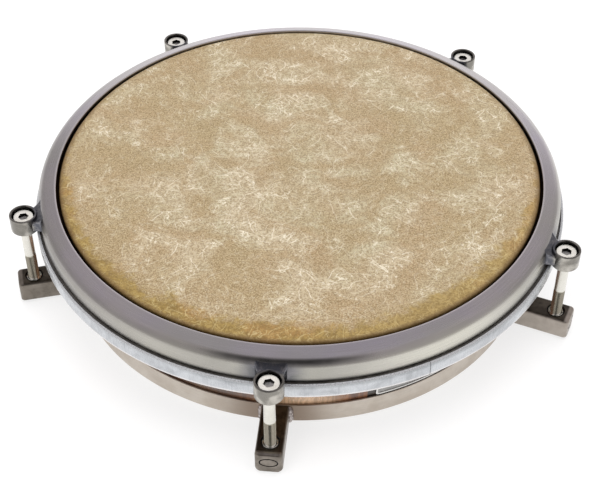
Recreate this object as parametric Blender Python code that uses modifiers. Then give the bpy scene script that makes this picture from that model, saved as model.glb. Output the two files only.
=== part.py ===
"""Flat travel conga: a tuned head on a shallow wooden shell, held in a steel ring with five lug arms.

Metres, +Z up, standing on the floor plane z = 0. The drum's own axis is at x = 0, y = DRUM_Y, and the
first lug arm points along -Y. The five stations (lug arm, threaded bush, hoop ear, bolt and washer)
are 72 degrees apart, counted anticlockwise seen from above.
"""

from math import cos, pi, radians, sin, tan

import bmesh
import bpy
from mathutils import Matrix, Vector

# Clearances
SEAT_GAP = 0.0003
WASHER_GAP = 0.0002
THREAD_CLEARANCE = 0.0003
SHANK_CLEARANCE = 0.0005
HEAD_CLEARANCE = 0.00045

# Lug arms
STATIONS = 5
ARM_WIDTH = 0.0162
ARM_HEIGHT = 0.0150
ARM_OVERHANG = 0.0103
ARM_TOP_ROUND = 0.0024
ARM_FOOT_ROUND = 0.0026
ARM_END_ROUND = 0.0022
LIP_DROP = 0.0010
LIP_LENGTH = 0.0034
OVAL_LENGTH = 0.0100
OVAL_HEIGHT = 0.0060
OVAL_RISE = 0.0084
OVAL_DEPTH = 0.0004
ARM_FLOOR = 0.0020

# Chassis ring that the arms are welded to
BAND_INSET = 0.0022
BAND_WALL = 0.0014
BAND_LIFT = 0.0027
BAND_PROUD = 0.0004
BAND_ROUND = 0.0006
LEDGE_THICKNESS = 0.0022
LEDGE_WIDTH = 0.0075

# Wooden shell
SHELL_TOP_RADIUS = 0.1492
SHELL_WALL = 0.0060
SHELL_HEIGHT = 0.0670
SHELL_STRAIGHT = 0.0240
EDGE_ROUND = 0.0030
EDGE_CUT = 0.0030

# Bare plate on the shell
PLATE_AZIMUTH = radians(34.9)
PLATE_LENGTH = 0.0600
PLATE_HEIGHT = 0.0150
PLATE_THICKNESS = 0.0008
PLATE_CORNER = 0.0022
PLATE_RISE = 0.0009

# Drum head: film, flesh hoop and the resin that locks the film in
FILM_THICKNESS = 0.0005
FILM_SHOULDER = 0.0034
COLLAR_DROP = 0.0075
FILM_SLOT_INSET = 0.0054
FILM_SLOT_DEPTH = 0.0068
FLESH_PROUD = 0.0028
FLESH_WIDTH = 0.0120
FLESH_HEIGHT = 0.0104
FLESH_WALL = 0.0016
FLESH_ROUND = 0.0010

# Counterhoop
HOOP_HEAD_GAP = 0.0024
HOOP_WIDTH = 0.0118
HOOP_RISE = 0.0010
HOOP_HEIGHT = 0.0173
HOOP_SHEET = 0.0024
HOOP_SLOPE = radians(17.0)
HOOP_SHOULDER = 0.0080
HOOP_RIM_ROUND = 0.0005

# Hoop ears
EAR_WALL = 0.00165
EAR_STANDOFF = 0.0010
EAR_DROP = 0.0060
EAR_FLOOR = 0.0020
EAR_RIM_ROUND = 0.0004
BRACKET_HOOP_WIDTH = 0.0200
BRACKET_CUP_WIDTH = 0.0140
BRACKET_TUCK = 0.0030
BRACKET_FOOT = 0.0010
BRACKET_CUP_DROP = 0.0030
BRACKET_HOOP_DROP = 0.0018

# Tension bolts, washers and threaded bushes
BOLT_RADIUS = 0.0035
SHANK_RELIEF = 0.00005
BOLT_HEAD_RADIUS = 0.0064
BOLT_HEAD_HEIGHT = 0.0060
BOLT_HEAD_CHAMFER = 0.0008
SOCKET_ACROSS_FLATS = 0.0050
SOCKET_DEPTH = 0.0032
PLAIN_LENGTH = 0.0250
TIP_GAP = 0.0012
BOLT_TIP_CHAMFER = 0.0006
WASHER_INSET = 0.0002
WASHER_THICKNESS = 0.0010
BUSH_WALL = 0.0009
BUSH_CHAMFER = 0.0006
BUSH_SINK = 0.0003
RECESS_MARGIN = 0.00085
RECESS_DEPTH = 0.0015

# Facets
RING_STEPS = 60
CUP_STEPS = 24
BOLT_STEPS = 18
ROUND_STEPS = 3
ROLL_STEPS = 4
CUT_MARGIN = 0.0020

# Heights that follow from the sizes above
ARM_UNDERSIDE = LIP_DROP
ARM_TOP = ARM_UNDERSIDE + ARM_HEIGHT
BAND_TOP = ARM_TOP + BAND_PROUD
SHELL_BOTTOM = BAND_LIFT + LEDGE_THICKNESS + SEAT_GAP
SHELL_TOP = SHELL_BOTTOM + SHELL_HEIGHT
FILM_UNDERSIDE = SHELL_TOP + SEAT_GAP
FILM_TOP = FILM_UNDERSIDE + FILM_THICKNESS
HOOP_TOP = FILM_TOP + HOOP_RISE
HOOP_BOTTOM = HOOP_TOP - HOOP_HEIGHT
FLESH_TOP = HOOP_BOTTOM - SEAT_GAP
FLESH_BOTTOM = FLESH_TOP - FLESH_HEIGHT
CUP_TOP = HOOP_TOP - EAR_DROP
CUP_BOTTOM = HOOP_BOTTOM
WASHER_BOTTOM = CUP_BOTTOM + EAR_FLOOR + WASHER_GAP
BOLT_SEAT = WASHER_BOTTOM + WASHER_THICKNESS + WASHER_GAP
BOLT_TOP = BOLT_SEAT + BOLT_HEAD_HEIGHT
BOLT_TIP = ARM_UNDERSIDE + ARM_FLOOR + TIP_GAP

# Radii that follow from the sizes above
BAND_RADIUS = SHELL_TOP_RADIUS - BAND_INSET
BAND_BORE = BAND_RADIUS - BAND_WALL
SHELL_FOOT_RADIUS = BAND_BORE - SEAT_GAP
FILM_OUTER_RADIUS = SHELL_TOP_RADIUS + SEAT_GAP + FILM_THICKNESS
HOOP_INNER_RADIUS = FILM_OUTER_RADIUS + HOOP_HEAD_GAP
HOOP_OUTER_RADIUS = HOOP_INNER_RADIUS + HOOP_WIDTH
FLESH_RADIUS = HOOP_OUTER_RADIUS + FLESH_PROUD
FLESH_INNER_RADIUS = FLESH_RADIUS - FLESH_WIDTH
FILM_SLOT_RADIUS = FLESH_INNER_RADIUS + FILM_SLOT_INSET
CUP_BORE = BOLT_HEAD_RADIUS + HEAD_CLEARANCE
EAR_RADIUS = CUP_BORE + EAR_WALL
BOLT_CIRCLE = HOOP_OUTER_RADIUS + EAR_STANDOFF + EAR_RADIUS
SHANK_RADIUS = BOLT_RADIUS - SHANK_RELIEF
WASHER_RADIUS = BOLT_HEAD_RADIUS - WASHER_INSET
BUSH_BORE = BOLT_RADIUS + THREAD_CLEARANCE
BUSH_RADIUS = BUSH_BORE + BUSH_WALL
RECESS_RADIUS = BUSH_RADIUS + RECESS_MARGIN
ARM_REACH = BOLT_CIRCLE + ARM_OVERHANG

# The arm at the front reaches further than the rings at the back, so the drum's axis stands behind the
# middle of the footprint by half the difference.
DRUM_Y = (ARM_REACH - FLESH_RADIUS) / 2

COLOURS = {
    "hoop_steel": ((0.33, 0.31, 0.32), 0.30, 1.0),
    "arm_steel": ((0.27, 0.25, 0.22), 0.42, 1.0),
    "band_steel": ((0.48, 0.45, 0.41), 0.38, 1.0),
    "aluminium": ((0.78, 0.79, 0.82), 0.28, 1.0),
    "bolt_steel": ((0.72, 0.70, 0.64), 0.18, 1.0),
    "film": ((0.56, 0.44, 0.28), 0.55, 0.0),
    "resin": ((0.06, 0.055, 0.05), 0.40, 0.0),
    "wood": ((0.16, 0.075, 0.045), 0.38, 0.0),
    "plate_metal": ((0.70, 0.69, 0.66), 0.25, 1.0),
}


def clear_scene():
    """Removes whatever the scene holds."""
    for obj in list(bpy.data.objects):
        bpy.data.objects.remove(obj, do_unlink=True)


def new_collection(name):
    """A collection linked to the scene."""
    collection = bpy.data.collections.new(name)
    bpy.context.scene.collection.children.link(collection)
    return collection


def make_materials():
    """One plain material for each finish of the drum."""
    materials = {}
    for name, (colour, roughness, metallic) in COLOURS.items():
        material = bpy.data.materials.new(name)
        material.use_nodes = True
        shader = material.node_tree.nodes["Principled BSDF"]
        shader.inputs["Base Color"].default_value = (*colour, 1.0)
        shader.inputs["Roughness"].default_value = roughness
        shader.inputs["Metallic"].default_value = metallic
        materials[name] = material
    return materials


def arc(radius_at, height_at, radius, start, end, count):
    """Points (r, z) on an arc, with angles in radians from the outward radial direction."""
    points = []
    for index in range(count + 1):
        angle = start + (end - start) * index / count
        points.append((radius_at + radius * cos(angle), height_at + radius * sin(angle)))
    return points


def place(obj, collection, parent, location=(0.0, 0.0, 0.0)):
    """Links an object and stands it at a place under its parent."""
    collection.objects.link(obj)
    obj.parent = parent
    obj.location = location
    return obj


def hide_helper(obj):
    """Marks a cutter, which isn't part of the drum."""
    obj.hide_render = True
    obj.display_type = "WIRE"
    return obj


def turned(name, profile, collection, parent, steps, location=(0.0, 0.0, 0.0), closed=True):
    """A turned shape: the profile's points (r, z) run down the outer side, and a Screw turns them."""
    mesh = bpy.data.meshes.new(name)
    points = [(r, 0.0, z) for r, z in profile]
    count = len(points)
    edges = [(i, i + 1) for i in range(count - 1)]
    if closed:
        edges.append((count - 1, 0))
    mesh.from_pydata(points, edges, [])
    obj = place(bpy.data.objects.new(name, mesh), collection, parent, location)
    screw = obj.modifiers.new("turn", "SCREW")
    screw.angle = 2 * pi
    screw.steps = steps
    screw.render_steps = steps
    screw.use_merge_vertices = True
    screw.merge_threshold = 0.00001
    screw.use_smooth_shade = True
    return obj


def block(name, low, high, collection, parent):
    """A box between two corners, given under the parent."""
    mesh = bpy.data.meshes.new(name)
    low, high = Vector(low), Vector(high)
    size = high - low
    shape = bmesh.new()
    bmesh.ops.create_cube(shape, size=1.0)
    bmesh.ops.scale(shape, vec=size, verts=shape.verts)
    bmesh.ops.translate(shape, vec=(low + high) / 2, verts=shape.verts)
    shape.to_mesh(mesh)
    shape.free()
    return place(bpy.data.objects.new(name, mesh), collection, parent)


def boolean(obj, tool, operation):
    """Adds an exact Boolean with a cutter."""
    modifier = obj.modifiers.new(tool.name, "BOOLEAN")
    modifier.object = tool
    modifier.operation = operation
    modifier.solver = "EXACT"


def finish(obj, material, edge_angle=radians(32.0)):
    """Applies the modifiers, shades round faces smooth and keeps hard edges sharp."""
    bpy.context.view_layer.update()
    graph = bpy.context.evaluated_depsgraph_get()
    mesh = bpy.data.meshes.new_from_object(obj.evaluated_get(graph))
    obj.modifiers.clear()
    obj.data = mesh
    mesh.name = obj.name
    mesh.shade_smooth()
    mesh.set_sharp_from_angle(angle=edge_angle)
    mesh.materials.clear()
    mesh.materials.append(material)
    return obj


def shell_outer(height):
    """The shell's outer radius at a height: straight below the head, then drawn in to fit the ring."""
    taper_top = SHELL_TOP - SHELL_STRAIGHT
    taper_bottom = BAND_TOP
    share = (height - taper_bottom) / (taper_top - taper_bottom)
    share = min(1.0, max(0.0, share))
    return SHELL_FOOT_RADIUS + (SHELL_TOP_RADIUS - SHELL_FOOT_RADIUS) * share


def chassis_ring_profile():
    """An angle section: the visible band, with a ledge turned inwards that the shell stands on."""
    inner = BAND_BORE - LEDGE_WIDTH
    return [
        (BAND_BORE, BAND_TOP),
        (BAND_RADIUS - BAND_ROUND, BAND_TOP),
        (BAND_RADIUS, BAND_TOP - BAND_ROUND),
        (BAND_RADIUS, BAND_LIFT + BAND_ROUND),
        (BAND_RADIUS - BAND_ROUND, BAND_LIFT),
        (inner, BAND_LIFT),
        (inner, BAND_LIFT + LEDGE_THICKNESS),
        (BAND_BORE, BAND_LIFT + LEDGE_THICKNESS),
    ]


def wood_shell_profile():
    """The shell's wall, with a bearing edge that is cut back inside and rounded over outside."""
    taper_top = SHELL_TOP - SHELL_STRAIGHT
    crown = SHELL_TOP_RADIUS - EDGE_ROUND
    top_bore = SHELL_TOP_RADIUS - SHELL_WALL
    foot_bore = SHELL_FOOT_RADIUS - SHELL_WALL
    over = arc(crown, SHELL_TOP - EDGE_ROUND, EDGE_ROUND, pi / 2, 0.0, 3)
    return over + [
        (SHELL_TOP_RADIUS, taper_top),
        (SHELL_FOOT_RADIUS, BAND_TOP),
        (SHELL_FOOT_RADIUS, SHELL_BOTTOM),
        (foot_bore, SHELL_BOTTOM),
        (foot_bore, BAND_TOP),
        (top_bore, taper_top),
        (top_bore, SHELL_TOP - EDGE_CUT),
    ]


def film_outer_line(offset):
    """The film's line from over the bearing edge down the collar and into the flesh hoop.

    The offset moves the line from the film's outer face towards its inner face.
    """
    shoulder_radius = FILM_SHOULDER - offset
    shoulder = arc(
        FILM_OUTER_RADIUS - FILM_SHOULDER,
        FILM_TOP - FILM_SHOULDER,
        shoulder_radius,
        pi / 2,
        0.0,
        3,
    )
    collar_foot = FILM_TOP - FILM_SHOULDER - COLLAR_DROP
    tuck_outer = FILM_SLOT_RADIUS + FILM_THICKNESS / 2
    tuck = FLESH_TOP + FILM_THICKNESS
    return shoulder + [
        (FILM_OUTER_RADIUS - offset, collar_foot - offset / 2),
        (tuck_outer - offset, tuck - offset / 2),
        (tuck_outer - offset, FLESH_TOP - FILM_SLOT_DEPTH),
    ]


def drum_head_profile():
    """The whole film: flat playing face, bearing shoulder, collar and the skirt held in the resin."""
    outside = [(0.0, FILM_TOP)] + film_outer_line(0.0)
    inside = film_outer_line(FILM_THICKNESS)[::-1] + [(0.0, FILM_UNDERSIDE)]
    return outside + inside


def flesh_hoop_profile():
    """A channel open at the top, with rounded outer corners."""
    outer = FLESH_RADIUS
    inner = FLESH_INNER_RADIUS
    low = FLESH_BOTTOM
    bend = FLESH_ROUND
    return [
        (outer - FLESH_WALL, FLESH_TOP),
        (outer - bend, FLESH_TOP),
        (outer, FLESH_TOP - bend),
        (outer, low + bend),
        (outer - bend, low),
        (inner + bend, low),
        (inner, low + bend),
        (inner, FLESH_TOP),
        (inner + FLESH_WALL, FLESH_TOP),
        (inner + FLESH_WALL, low + FLESH_WALL),
        (outer - FLESH_WALL, low + FLESH_WALL),
    ]


def resin_profile():
    """The bead that fills the channel, with the slot that the film's skirt stands in."""
    outer = FLESH_RADIUS - FLESH_WALL - SEAT_GAP
    inner = FLESH_INNER_RADIUS + FLESH_WALL + SEAT_GAP
    low = FLESH_BOTTOM + FLESH_WALL + SEAT_GAP
    half_slot = FILM_THICKNESS / 2 + SEAT_GAP
    slot_bottom = FLESH_TOP - FILM_SLOT_DEPTH - SEAT_GAP
    return [
        (FILM_SLOT_RADIUS + half_slot, FLESH_TOP),
        (outer, FLESH_TOP),
        (outer, low),
        (inner, low),
        (inner, FLESH_TOP),
        (FILM_SLOT_RADIUS - half_slot, FLESH_TOP),
        (FILM_SLOT_RADIUS - half_slot, slot_bottom),
        (FILM_SLOT_RADIUS + half_slot, slot_bottom),
    ]


def hoop_outer_line(offset):
    """The counterhoop's outer face, moved outwards by an offset: slope, rolled shoulder and wall."""
    bend = HOOP_SHOULDER
    bend_centre_r = HOOP_OUTER_RADIUS - bend
    slope_end_r = bend_centre_r + bend * sin(HOOP_SLOPE)
    slope_end_z = HOOP_TOP - (slope_end_r - HOOP_INNER_RADIUS) * tan(HOOP_SLOPE)
    bend_centre_z = slope_end_z - bend * cos(HOOP_SLOPE)
    roll = arc(bend_centre_r, bend_centre_z, bend + offset, pi / 2 - HOOP_SLOPE, 0.0, ROLL_STEPS)
    start = (
        HOOP_INNER_RADIUS + offset * sin(HOOP_SLOPE),
        HOOP_TOP + offset * cos(HOOP_SLOPE),
    )
    return [start] + roll + [(HOOP_OUTER_RADIUS + offset, HOOP_BOTTOM)]


def counter_hoop_profile():
    """Rolled sheet: a gently sloping top, a rounded shoulder and a wall that bears on the flesh hoop."""
    outside = hoop_outer_line(0.0)
    inside = hoop_outer_line(-HOOP_SHEET)[::-1]
    rim_low = (HOOP_INNER_RADIUS, inside[-1][1])
    inside[-1] = (HOOP_INNER_RADIUS + HOOP_RIM_ROUND, rim_low[1])
    rim = [
        (HOOP_INNER_RADIUS, rim_low[1] + HOOP_RIM_ROUND),
        (HOOP_INNER_RADIUS, HOOP_TOP - HOOP_RIM_ROUND),
        (HOOP_INNER_RADIUS + HOOP_RIM_ROUND, HOOP_TOP),
    ]
    return outside[1:] + inside + rim


def bolt_profile():
    """Cap head with a chamfered rim, plain shank, thread and chamfered tip, in line on one axis."""
    thread_start = BOLT_SEAT - PLAIN_LENGTH
    return [
        (0.0, BOLT_TOP),
        (BOLT_HEAD_RADIUS - BOLT_HEAD_CHAMFER, BOLT_TOP),
        (BOLT_HEAD_RADIUS, BOLT_TOP - BOLT_HEAD_CHAMFER),
        (BOLT_HEAD_RADIUS, BOLT_SEAT),
        (SHANK_RADIUS, BOLT_SEAT),
        (SHANK_RADIUS, thread_start),
        (BOLT_RADIUS, thread_start - (BOLT_RADIUS - SHANK_RADIUS)),
        (BOLT_RADIUS, BOLT_TIP + BOLT_TIP_CHAMFER),
        (BOLT_RADIUS - BOLT_TIP_CHAMFER, BOLT_TIP),
        (0.0, BOLT_TIP),
    ]


def washer_profile():
    """A flat washer between the bolt's head and the floor of the cup."""
    bore = SHANK_RADIUS + SHANK_CLEARANCE
    top = WASHER_BOTTOM + WASHER_THICKNESS
    return [(bore, top), (WASHER_RADIUS, top), (WASHER_RADIUS, WASHER_BOTTOM), (bore, WASHER_BOTTOM)]


def bush_profile():
    """The threaded bush in an arm, its mouth chamfered down to the thread."""
    top = ARM_TOP - BUSH_SINK
    bottom = ARM_UNDERSIDE + ARM_FLOOR + SEAT_GAP
    return [
        (BUSH_BORE + BUSH_CHAMFER, top),
        (BUSH_RADIUS, top),
        (BUSH_RADIUS, bottom),
        (BUSH_BORE, bottom),
        (BUSH_BORE, top - BUSH_CHAMFER),
    ]


def arm_bore_profile():
    """What the bush's seat removes: a blind hole with a wider recess round its mouth."""
    above = ARM_TOP + CUT_MARGIN
    seat = BUSH_RADIUS + SEAT_GAP
    floor = ARM_UNDERSIDE + ARM_FLOOR
    return [
        (0.0, above),
        (RECESS_RADIUS, above),
        (RECESS_RADIUS, ARM_TOP - RECESS_DEPTH),
        (seat, ARM_TOP - RECESS_DEPTH),
        (seat, floor),
        (0.0, floor),
    ]


def cup_bore_profile():
    """What a cup's bore removes: the pocket for the bolt's head and the hole for its shank."""
    above = CUP_TOP + CUT_MARGIN
    floor = CUP_BOTTOM + EAR_FLOOR
    hole = SHANK_RADIUS + SHANK_CLEARANCE
    below = CUP_BOTTOM - CUT_MARGIN
    return [(0.0, above), (CUP_BORE, above), (CUP_BORE, floor), (hole, floor), (hole, below), (0.0, below)]


def cup_profile():
    """The ear's cup before it is bored, its rim eased."""
    return [
        (0.0, CUP_TOP),
        (EAR_RADIUS - EAR_RIM_ROUND, CUP_TOP),
        (EAR_RADIUS, CUP_TOP - EAR_RIM_ROUND),
        (EAR_RADIUS, CUP_BOTTOM + EAR_RIM_ROUND),
        (EAR_RADIUS - EAR_RIM_ROUND, CUP_BOTTOM),
        (0.0, CUP_BOTTOM),
    ]


def edges_along(shape, axis, test):
    """The edges that run along an axis and whose middle passes a test."""
    found = []
    for edge in shape.edges:
        along = (edge.verts[1].co - edge.verts[0].co).normalized()
        middle = (edge.verts[0].co + edge.verts[1].co) / 2
        if abs(along[axis]) > 0.99 and test(middle):
            found.append(edge)
    return found


def round_edges(shape, edges, radius):
    """Rounds some edges of a shape."""
    bmesh.ops.bevel(
        shape,
        geom=edges,
        offset=radius,
        offset_type="OFFSET",
        segments=ROUND_STEPS,
        profile=0.5,
        affect="EDGES",
        clamp_overlap=True,
    )


def arm_block(name, collection, station):
    """The bar of a lug arm: softly rounded on top, rounder below, with an eased end face."""
    start = BAND_BORE
    low = (start, -ARM_WIDTH / 2, ARM_UNDERSIDE)
    high = (ARM_REACH, ARM_WIDTH / 2, ARM_TOP)
    arm = block(name, low, high, collection, station)
    middle = (ARM_UNDERSIDE + ARM_TOP) / 2
    shape = bmesh.new()
    shape.from_mesh(arm.data)
    round_edges(shape, edges_along(shape, 0, lambda at: at.z < middle), ARM_FOOT_ROUND)
    round_edges(shape, edges_along(shape, 0, lambda at: at.z > middle), ARM_TOP_ROUND)
    end_face = [e for e in shape.edges if all(v.co.x > ARM_REACH - 1e-6 for v in e.verts)]
    round_edges(shape, end_face, ARM_END_ROUND)
    shape.to_mesh(arm.data)
    shape.free()
    return arm


def arm_lip(name, collection, station):
    """The low lip under an arm's end, which the drum stands on."""
    half = ARM_WIDTH / 2 - ARM_FOOT_ROUND
    outer = ARM_REACH - ARM_END_ROUND
    low = (outer - LIP_LENGTH, -half, 0.0)
    high = (outer, half, ARM_UNDERSIDE + ARM_FLOOR)
    return hide_helper(block(name, low, high, collection, station))


def oval_cutter(name, collection, station):
    """The shallow oval sunk in an arm's end face."""
    mesh = bpy.data.meshes.new(name)
    shape = bmesh.new()
    depth = OVAL_DEPTH + CUT_MARGIN
    bmesh.ops.create_cone(
        shape, cap_ends=True, segments=24, radius1=0.5, radius2=0.5, depth=depth
    )
    turn = Matrix.Rotation(pi / 2, 4, "Y")
    stretch = Matrix.Diagonal((1.0, OVAL_LENGTH, OVAL_HEIGHT, 1.0))
    bmesh.ops.transform(shape, matrix=stretch @ turn, verts=shape.verts)
    middle = ARM_REACH - OVAL_DEPTH + depth / 2
    height = ARM_UNDERSIDE + OVAL_RISE
    bmesh.ops.translate(shape, vec=(middle, 0.0, height), verts=shape.verts)
    shape.to_mesh(mesh)
    shape.free()
    return hide_helper(place(bpy.data.objects.new(name, mesh), collection, station))


def make_lug_arm(number, station, parts, cutters, band_cutter, material):
    """A lug arm: a bar fitted round the band, bored for its bush, with a lip and an oval at the end."""
    arm = arm_block(f"lug_arm_{number}", parts, station)
    bore = turned(
        f"arm_bore_{number}", arm_bore_profile(), cutters, station, CUP_STEPS, (BOLT_CIRCLE, 0, 0), False
    )
    boolean(arm, arm_lip(f"arm_lip_{number}", cutters, station), "UNION")
    boolean(arm, hide_helper(bore), "DIFFERENCE")
    boolean(arm, oval_cutter(f"arm_oval_{number}", cutters, station), "DIFFERENCE")
    boolean(arm, band_cutter, "DIFFERENCE")
    return finish(arm, material)


def bracket_block(name, collection, station):
    """The flared web between hoop and cup: wide and tall at the hoop, narrow and low at the cup.

    Its narrow end stops inside the wall of the cup.
    """
    near = HOOP_OUTER_RADIUS - HOOP_SHOULDER
    far = BOLT_CIRCLE - BRACKET_TUCK
    low = (near, -0.5, CUP_BOTTOM + BRACKET_FOOT)
    high = (far, 0.5, CUP_TOP - BRACKET_CUP_DROP)
    bracket = block(name, low, high, collection, station)
    hoop_top = HOOP_TOP - BRACKET_HOOP_DROP
    for vertex in bracket.data.vertices:
        at_hoop = vertex.co.x < (near + far) / 2
        vertex.co.y *= BRACKET_HOOP_WIDTH if at_hoop else BRACKET_CUP_WIDTH
        if at_hoop and vertex.co.z > (CUP_BOTTOM + CUP_TOP) / 2:
            vertex.co.z = hoop_top
    return hide_helper(bracket)


def make_hoop_ear(number, station, parts, cutters, hoop_cutter, material):
    """A hoop ear: a bored cup and the flared web that carries it on the counterhoop.

    The bore is turned by half a facet, so that its corners don't meet the seams of the cup's top.
    """
    at = (BOLT_CIRCLE, 0.0, 0.0)
    ear = turned(f"hoop_ear_{number}", cup_profile(), parts, station, CUP_STEPS, at, False)
    bore = turned(f"cup_bore_{number}", cup_bore_profile(), cutters, station, CUP_STEPS, at, False)
    bore.rotation_euler.z = pi / CUP_STEPS
    boolean(ear, bracket_block(f"ear_bracket_{number}", cutters, station), "UNION")
    boolean(ear, hide_helper(bore), "DIFFERENCE")
    boolean(ear, hoop_cutter, "DIFFERENCE")
    return finish(ear, material)


def make_bolt(number, station, parts, cutters, material):
    """A socket-head tension bolt, with its origin on its own axis."""
    at = (BOLT_CIRCLE, 0.0, 0.0)
    bolt = turned(f"tension_bolt_{number}", bolt_profile(), parts, station, BOLT_STEPS, at, False)
    mesh = bpy.data.meshes.new(f"bolt_socket_{number}")
    shape = bmesh.new()
    corner_radius = SOCKET_ACROSS_FLATS / 2 / cos(pi / 6)
    depth = SOCKET_DEPTH + CUT_MARGIN
    bmesh.ops.create_cone(
        shape, cap_ends=True, segments=6, radius1=corner_radius, radius2=corner_radius, depth=depth
    )
    middle = BOLT_TOP - SOCKET_DEPTH + depth / 2
    bmesh.ops.translate(shape, vec=(0.0, 0.0, middle), verts=shape.verts)
    shape.to_mesh(mesh)
    shape.free()
    socket = place(bpy.data.objects.new(mesh.name, mesh), cutters, station, at)
    socket.rotation_euler.z = pi / BOLT_STEPS
    boolean(bolt, hide_helper(socket), "DIFFERENCE")
    return finish(bolt, material)


def make_shell_plate(axis, parts, cutters, material):
    """A thin bare plate that follows the shell's slope, with rounded corners."""
    low = BAND_TOP + PLATE_RISE
    high = low + PLATE_HEIGHT
    above = high + CUT_MARGIN
    below = low - CUT_MARGIN / 4
    seat = SEAT_GAP
    front = SEAT_GAP + PLATE_THICKNESS
    sleeve = [
        (shell_outer(above) + seat, above),
        (shell_outer(above) + front, above),
        (shell_outer(below) + front, below),
        (shell_outer(below) + seat, below),
    ]
    plate = turned("shell_plate", sleeve, parts, axis, RING_STEPS * 2)
    outline = bpy.data.curves.new("plate_outline", "CURVE")
    outline.dimensions = "2D"
    outline.fill_mode = "BOTH"
    outline.extrude = SHELL_WALL * 3
    spline = outline.splines.new("POLY")
    corners = []
    half_length = PLATE_LENGTH / 2 - PLATE_CORNER
    half_height = PLATE_HEIGHT / 2 - PLATE_CORNER
    for quarter, (side, rise) in enumerate(((1, 1), (-1, 1), (-1, -1), (1, -1))):
        start = quarter * pi / 2
        corners += arc(
            side * half_length, rise * half_height, PLATE_CORNER, start, start + pi / 2, 4
        )
    spline.points.add(len(corners) - 1)
    for point, (across, up) in zip(spline.points, corners):
        point.co = (across, up, 0.0, 1.0)
    spline.use_cyclic_u = True
    curve = bpy.data.objects.new("plate_outline", outline)
    place(curve, cutters, axis)
    facing = Matrix.Rotation(PLATE_AZIMUTH, 4, "Z")
    upright = Matrix.Rotation(pi / 2, 4, "X")
    reach = SHELL_TOP_RADIUS
    curve.matrix_local = facing @ Matrix.Translation((0.0, -reach, (low + high) / 2)) @ upright
    stamp = curve_to_mesh(curve, cutters)
    boolean(plate, hide_helper(stamp), "INTERSECT")
    return finish(plate, material)


def curve_to_mesh(curve, collection):
    """A welded mesh object in the place of a curve, which is removed."""
    bpy.context.view_layer.update()
    graph = bpy.context.evaluated_depsgraph_get()
    mesh = bpy.data.meshes.new_from_object(curve.evaluated_get(graph))
    shape = bmesh.new()
    shape.from_mesh(mesh)
    bmesh.ops.remove_doubles(shape, verts=shape.verts, dist=0.00001)
    bmesh.ops.recalc_face_normals(shape, faces=shape.faces)
    shape.to_mesh(mesh)
    shape.free()
    obj = bpy.data.objects.new(f"{curve.name}_solid", mesh)
    collection.objects.link(obj)
    obj.matrix_world = curve.matrix_world.copy()
    bpy.data.objects.remove(curve, do_unlink=True)
    return obj


def make_rings(axis, parts, materials):
    """The pieces that go right round the drum, from the floor up."""
    rings = (
        ("chassis_ring", chassis_ring_profile(), True, "band_steel"),
        ("wood_shell", wood_shell_profile(), True, "wood"),
        ("flesh_hoop", flesh_hoop_profile(), True, "aluminium"),
        ("head_resin", resin_profile(), True, "resin"),
        ("drum_head", drum_head_profile(), False, "film"),
        ("counter_hoop", counter_hoop_profile(), True, "hoop_steel"),
    )
    for name, profile, closed, material in rings:
        finish(turned(name, profile, parts, axis, RING_STEPS, closed=closed), materials[material])


def make_band_cutter(axis, cutters):
    """The space of the band and all inside it, with the seat gap that the arms keep to it."""
    reach = BAND_RADIUS + SEAT_GAP
    above = BAND_TOP + CUT_MARGIN
    below = -CUT_MARGIN
    profile = [(0.0, above), (reach, above), (reach, below), (0.0, below)]
    return hide_helper(turned("band_space", profile, cutters, axis, RING_STEPS * 2, closed=False))


def make_hoop_cutter(axis, cutters):
    """The space of the counterhoop and all inside it, with the seat gap that the ears keep to it."""
    line = hoop_outer_line(SEAT_GAP)
    below = CUP_BOTTOM - CUT_MARGIN
    profile = [(0.0, line[0][1])] + line + [(line[-1][0], below), (0.0, below)]
    return hide_helper(turned("hoop_space", profile, cutters, axis, RING_STEPS * 2, closed=False))


def make_stations(axis, parts, cutters, materials):
    """The five sets of arm, bush, ear, bolt and washer."""
    band_cutter = make_band_cutter(axis, cutters)
    hoop_cutter = make_hoop_cutter(axis, cutters)
    at = (BOLT_CIRCLE, 0.0, 0.0)
    for index in range(STATIONS):
        number = index + 1
        station = bpy.data.objects.new(f"station_{number}", None)
        place(station, parts, axis)
        station.rotation_euler.z = -pi / 2 + index * 2 * pi / STATIONS
        make_lug_arm(number, station, parts, cutters, band_cutter, materials["arm_steel"])
        make_hoop_ear(number, station, parts, cutters, hoop_cutter, materials["arm_steel"])
        make_bolt(number, station, parts, cutters, materials["bolt_steel"])
        bush = turned(f"lug_bush_{number}", bush_profile(), parts, station, BOLT_STEPS, at)
        finish(bush, materials["bolt_steel"])
        washer = turned(f"bolt_washer_{number}", washer_profile(), parts, station, BOLT_STEPS, at)
        finish(washer, materials["bolt_steel"])


def main():
    clear_scene()
    parts = new_collection("travel_conga")
    cutters = new_collection("cutters")
    materials = make_materials()
    axis = bpy.data.objects.new("drum_axis", None)
    place(axis, parts, None, (0.0, DRUM_Y, 0.0))
    make_rings(axis, parts, materials)
    make_shell_plate(axis, parts, cutters, materials["plate_metal"])
    make_stations(axis, parts, cutters, materials)


main()
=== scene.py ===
"""The looks of the flat travel conga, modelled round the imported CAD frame.

Metres, +Z up. Every piece is a mesh in the frame's own place, with its object at the origin. The drum's
axis stands at x = 0, y = AXIS_Y. A station is one of the five sets of lug arm, bush, ear, bolt and washer:
in a station's own space x runs outwards from the drum's axis, y along the rim and z up.
"""

from functools import cached_property, reduce
from math import atan2, ceil, cos, pi, radians, sin, tan
from random import Random

import bmesh
import bpy
from mathutils import Matrix, Vector, noise


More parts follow.
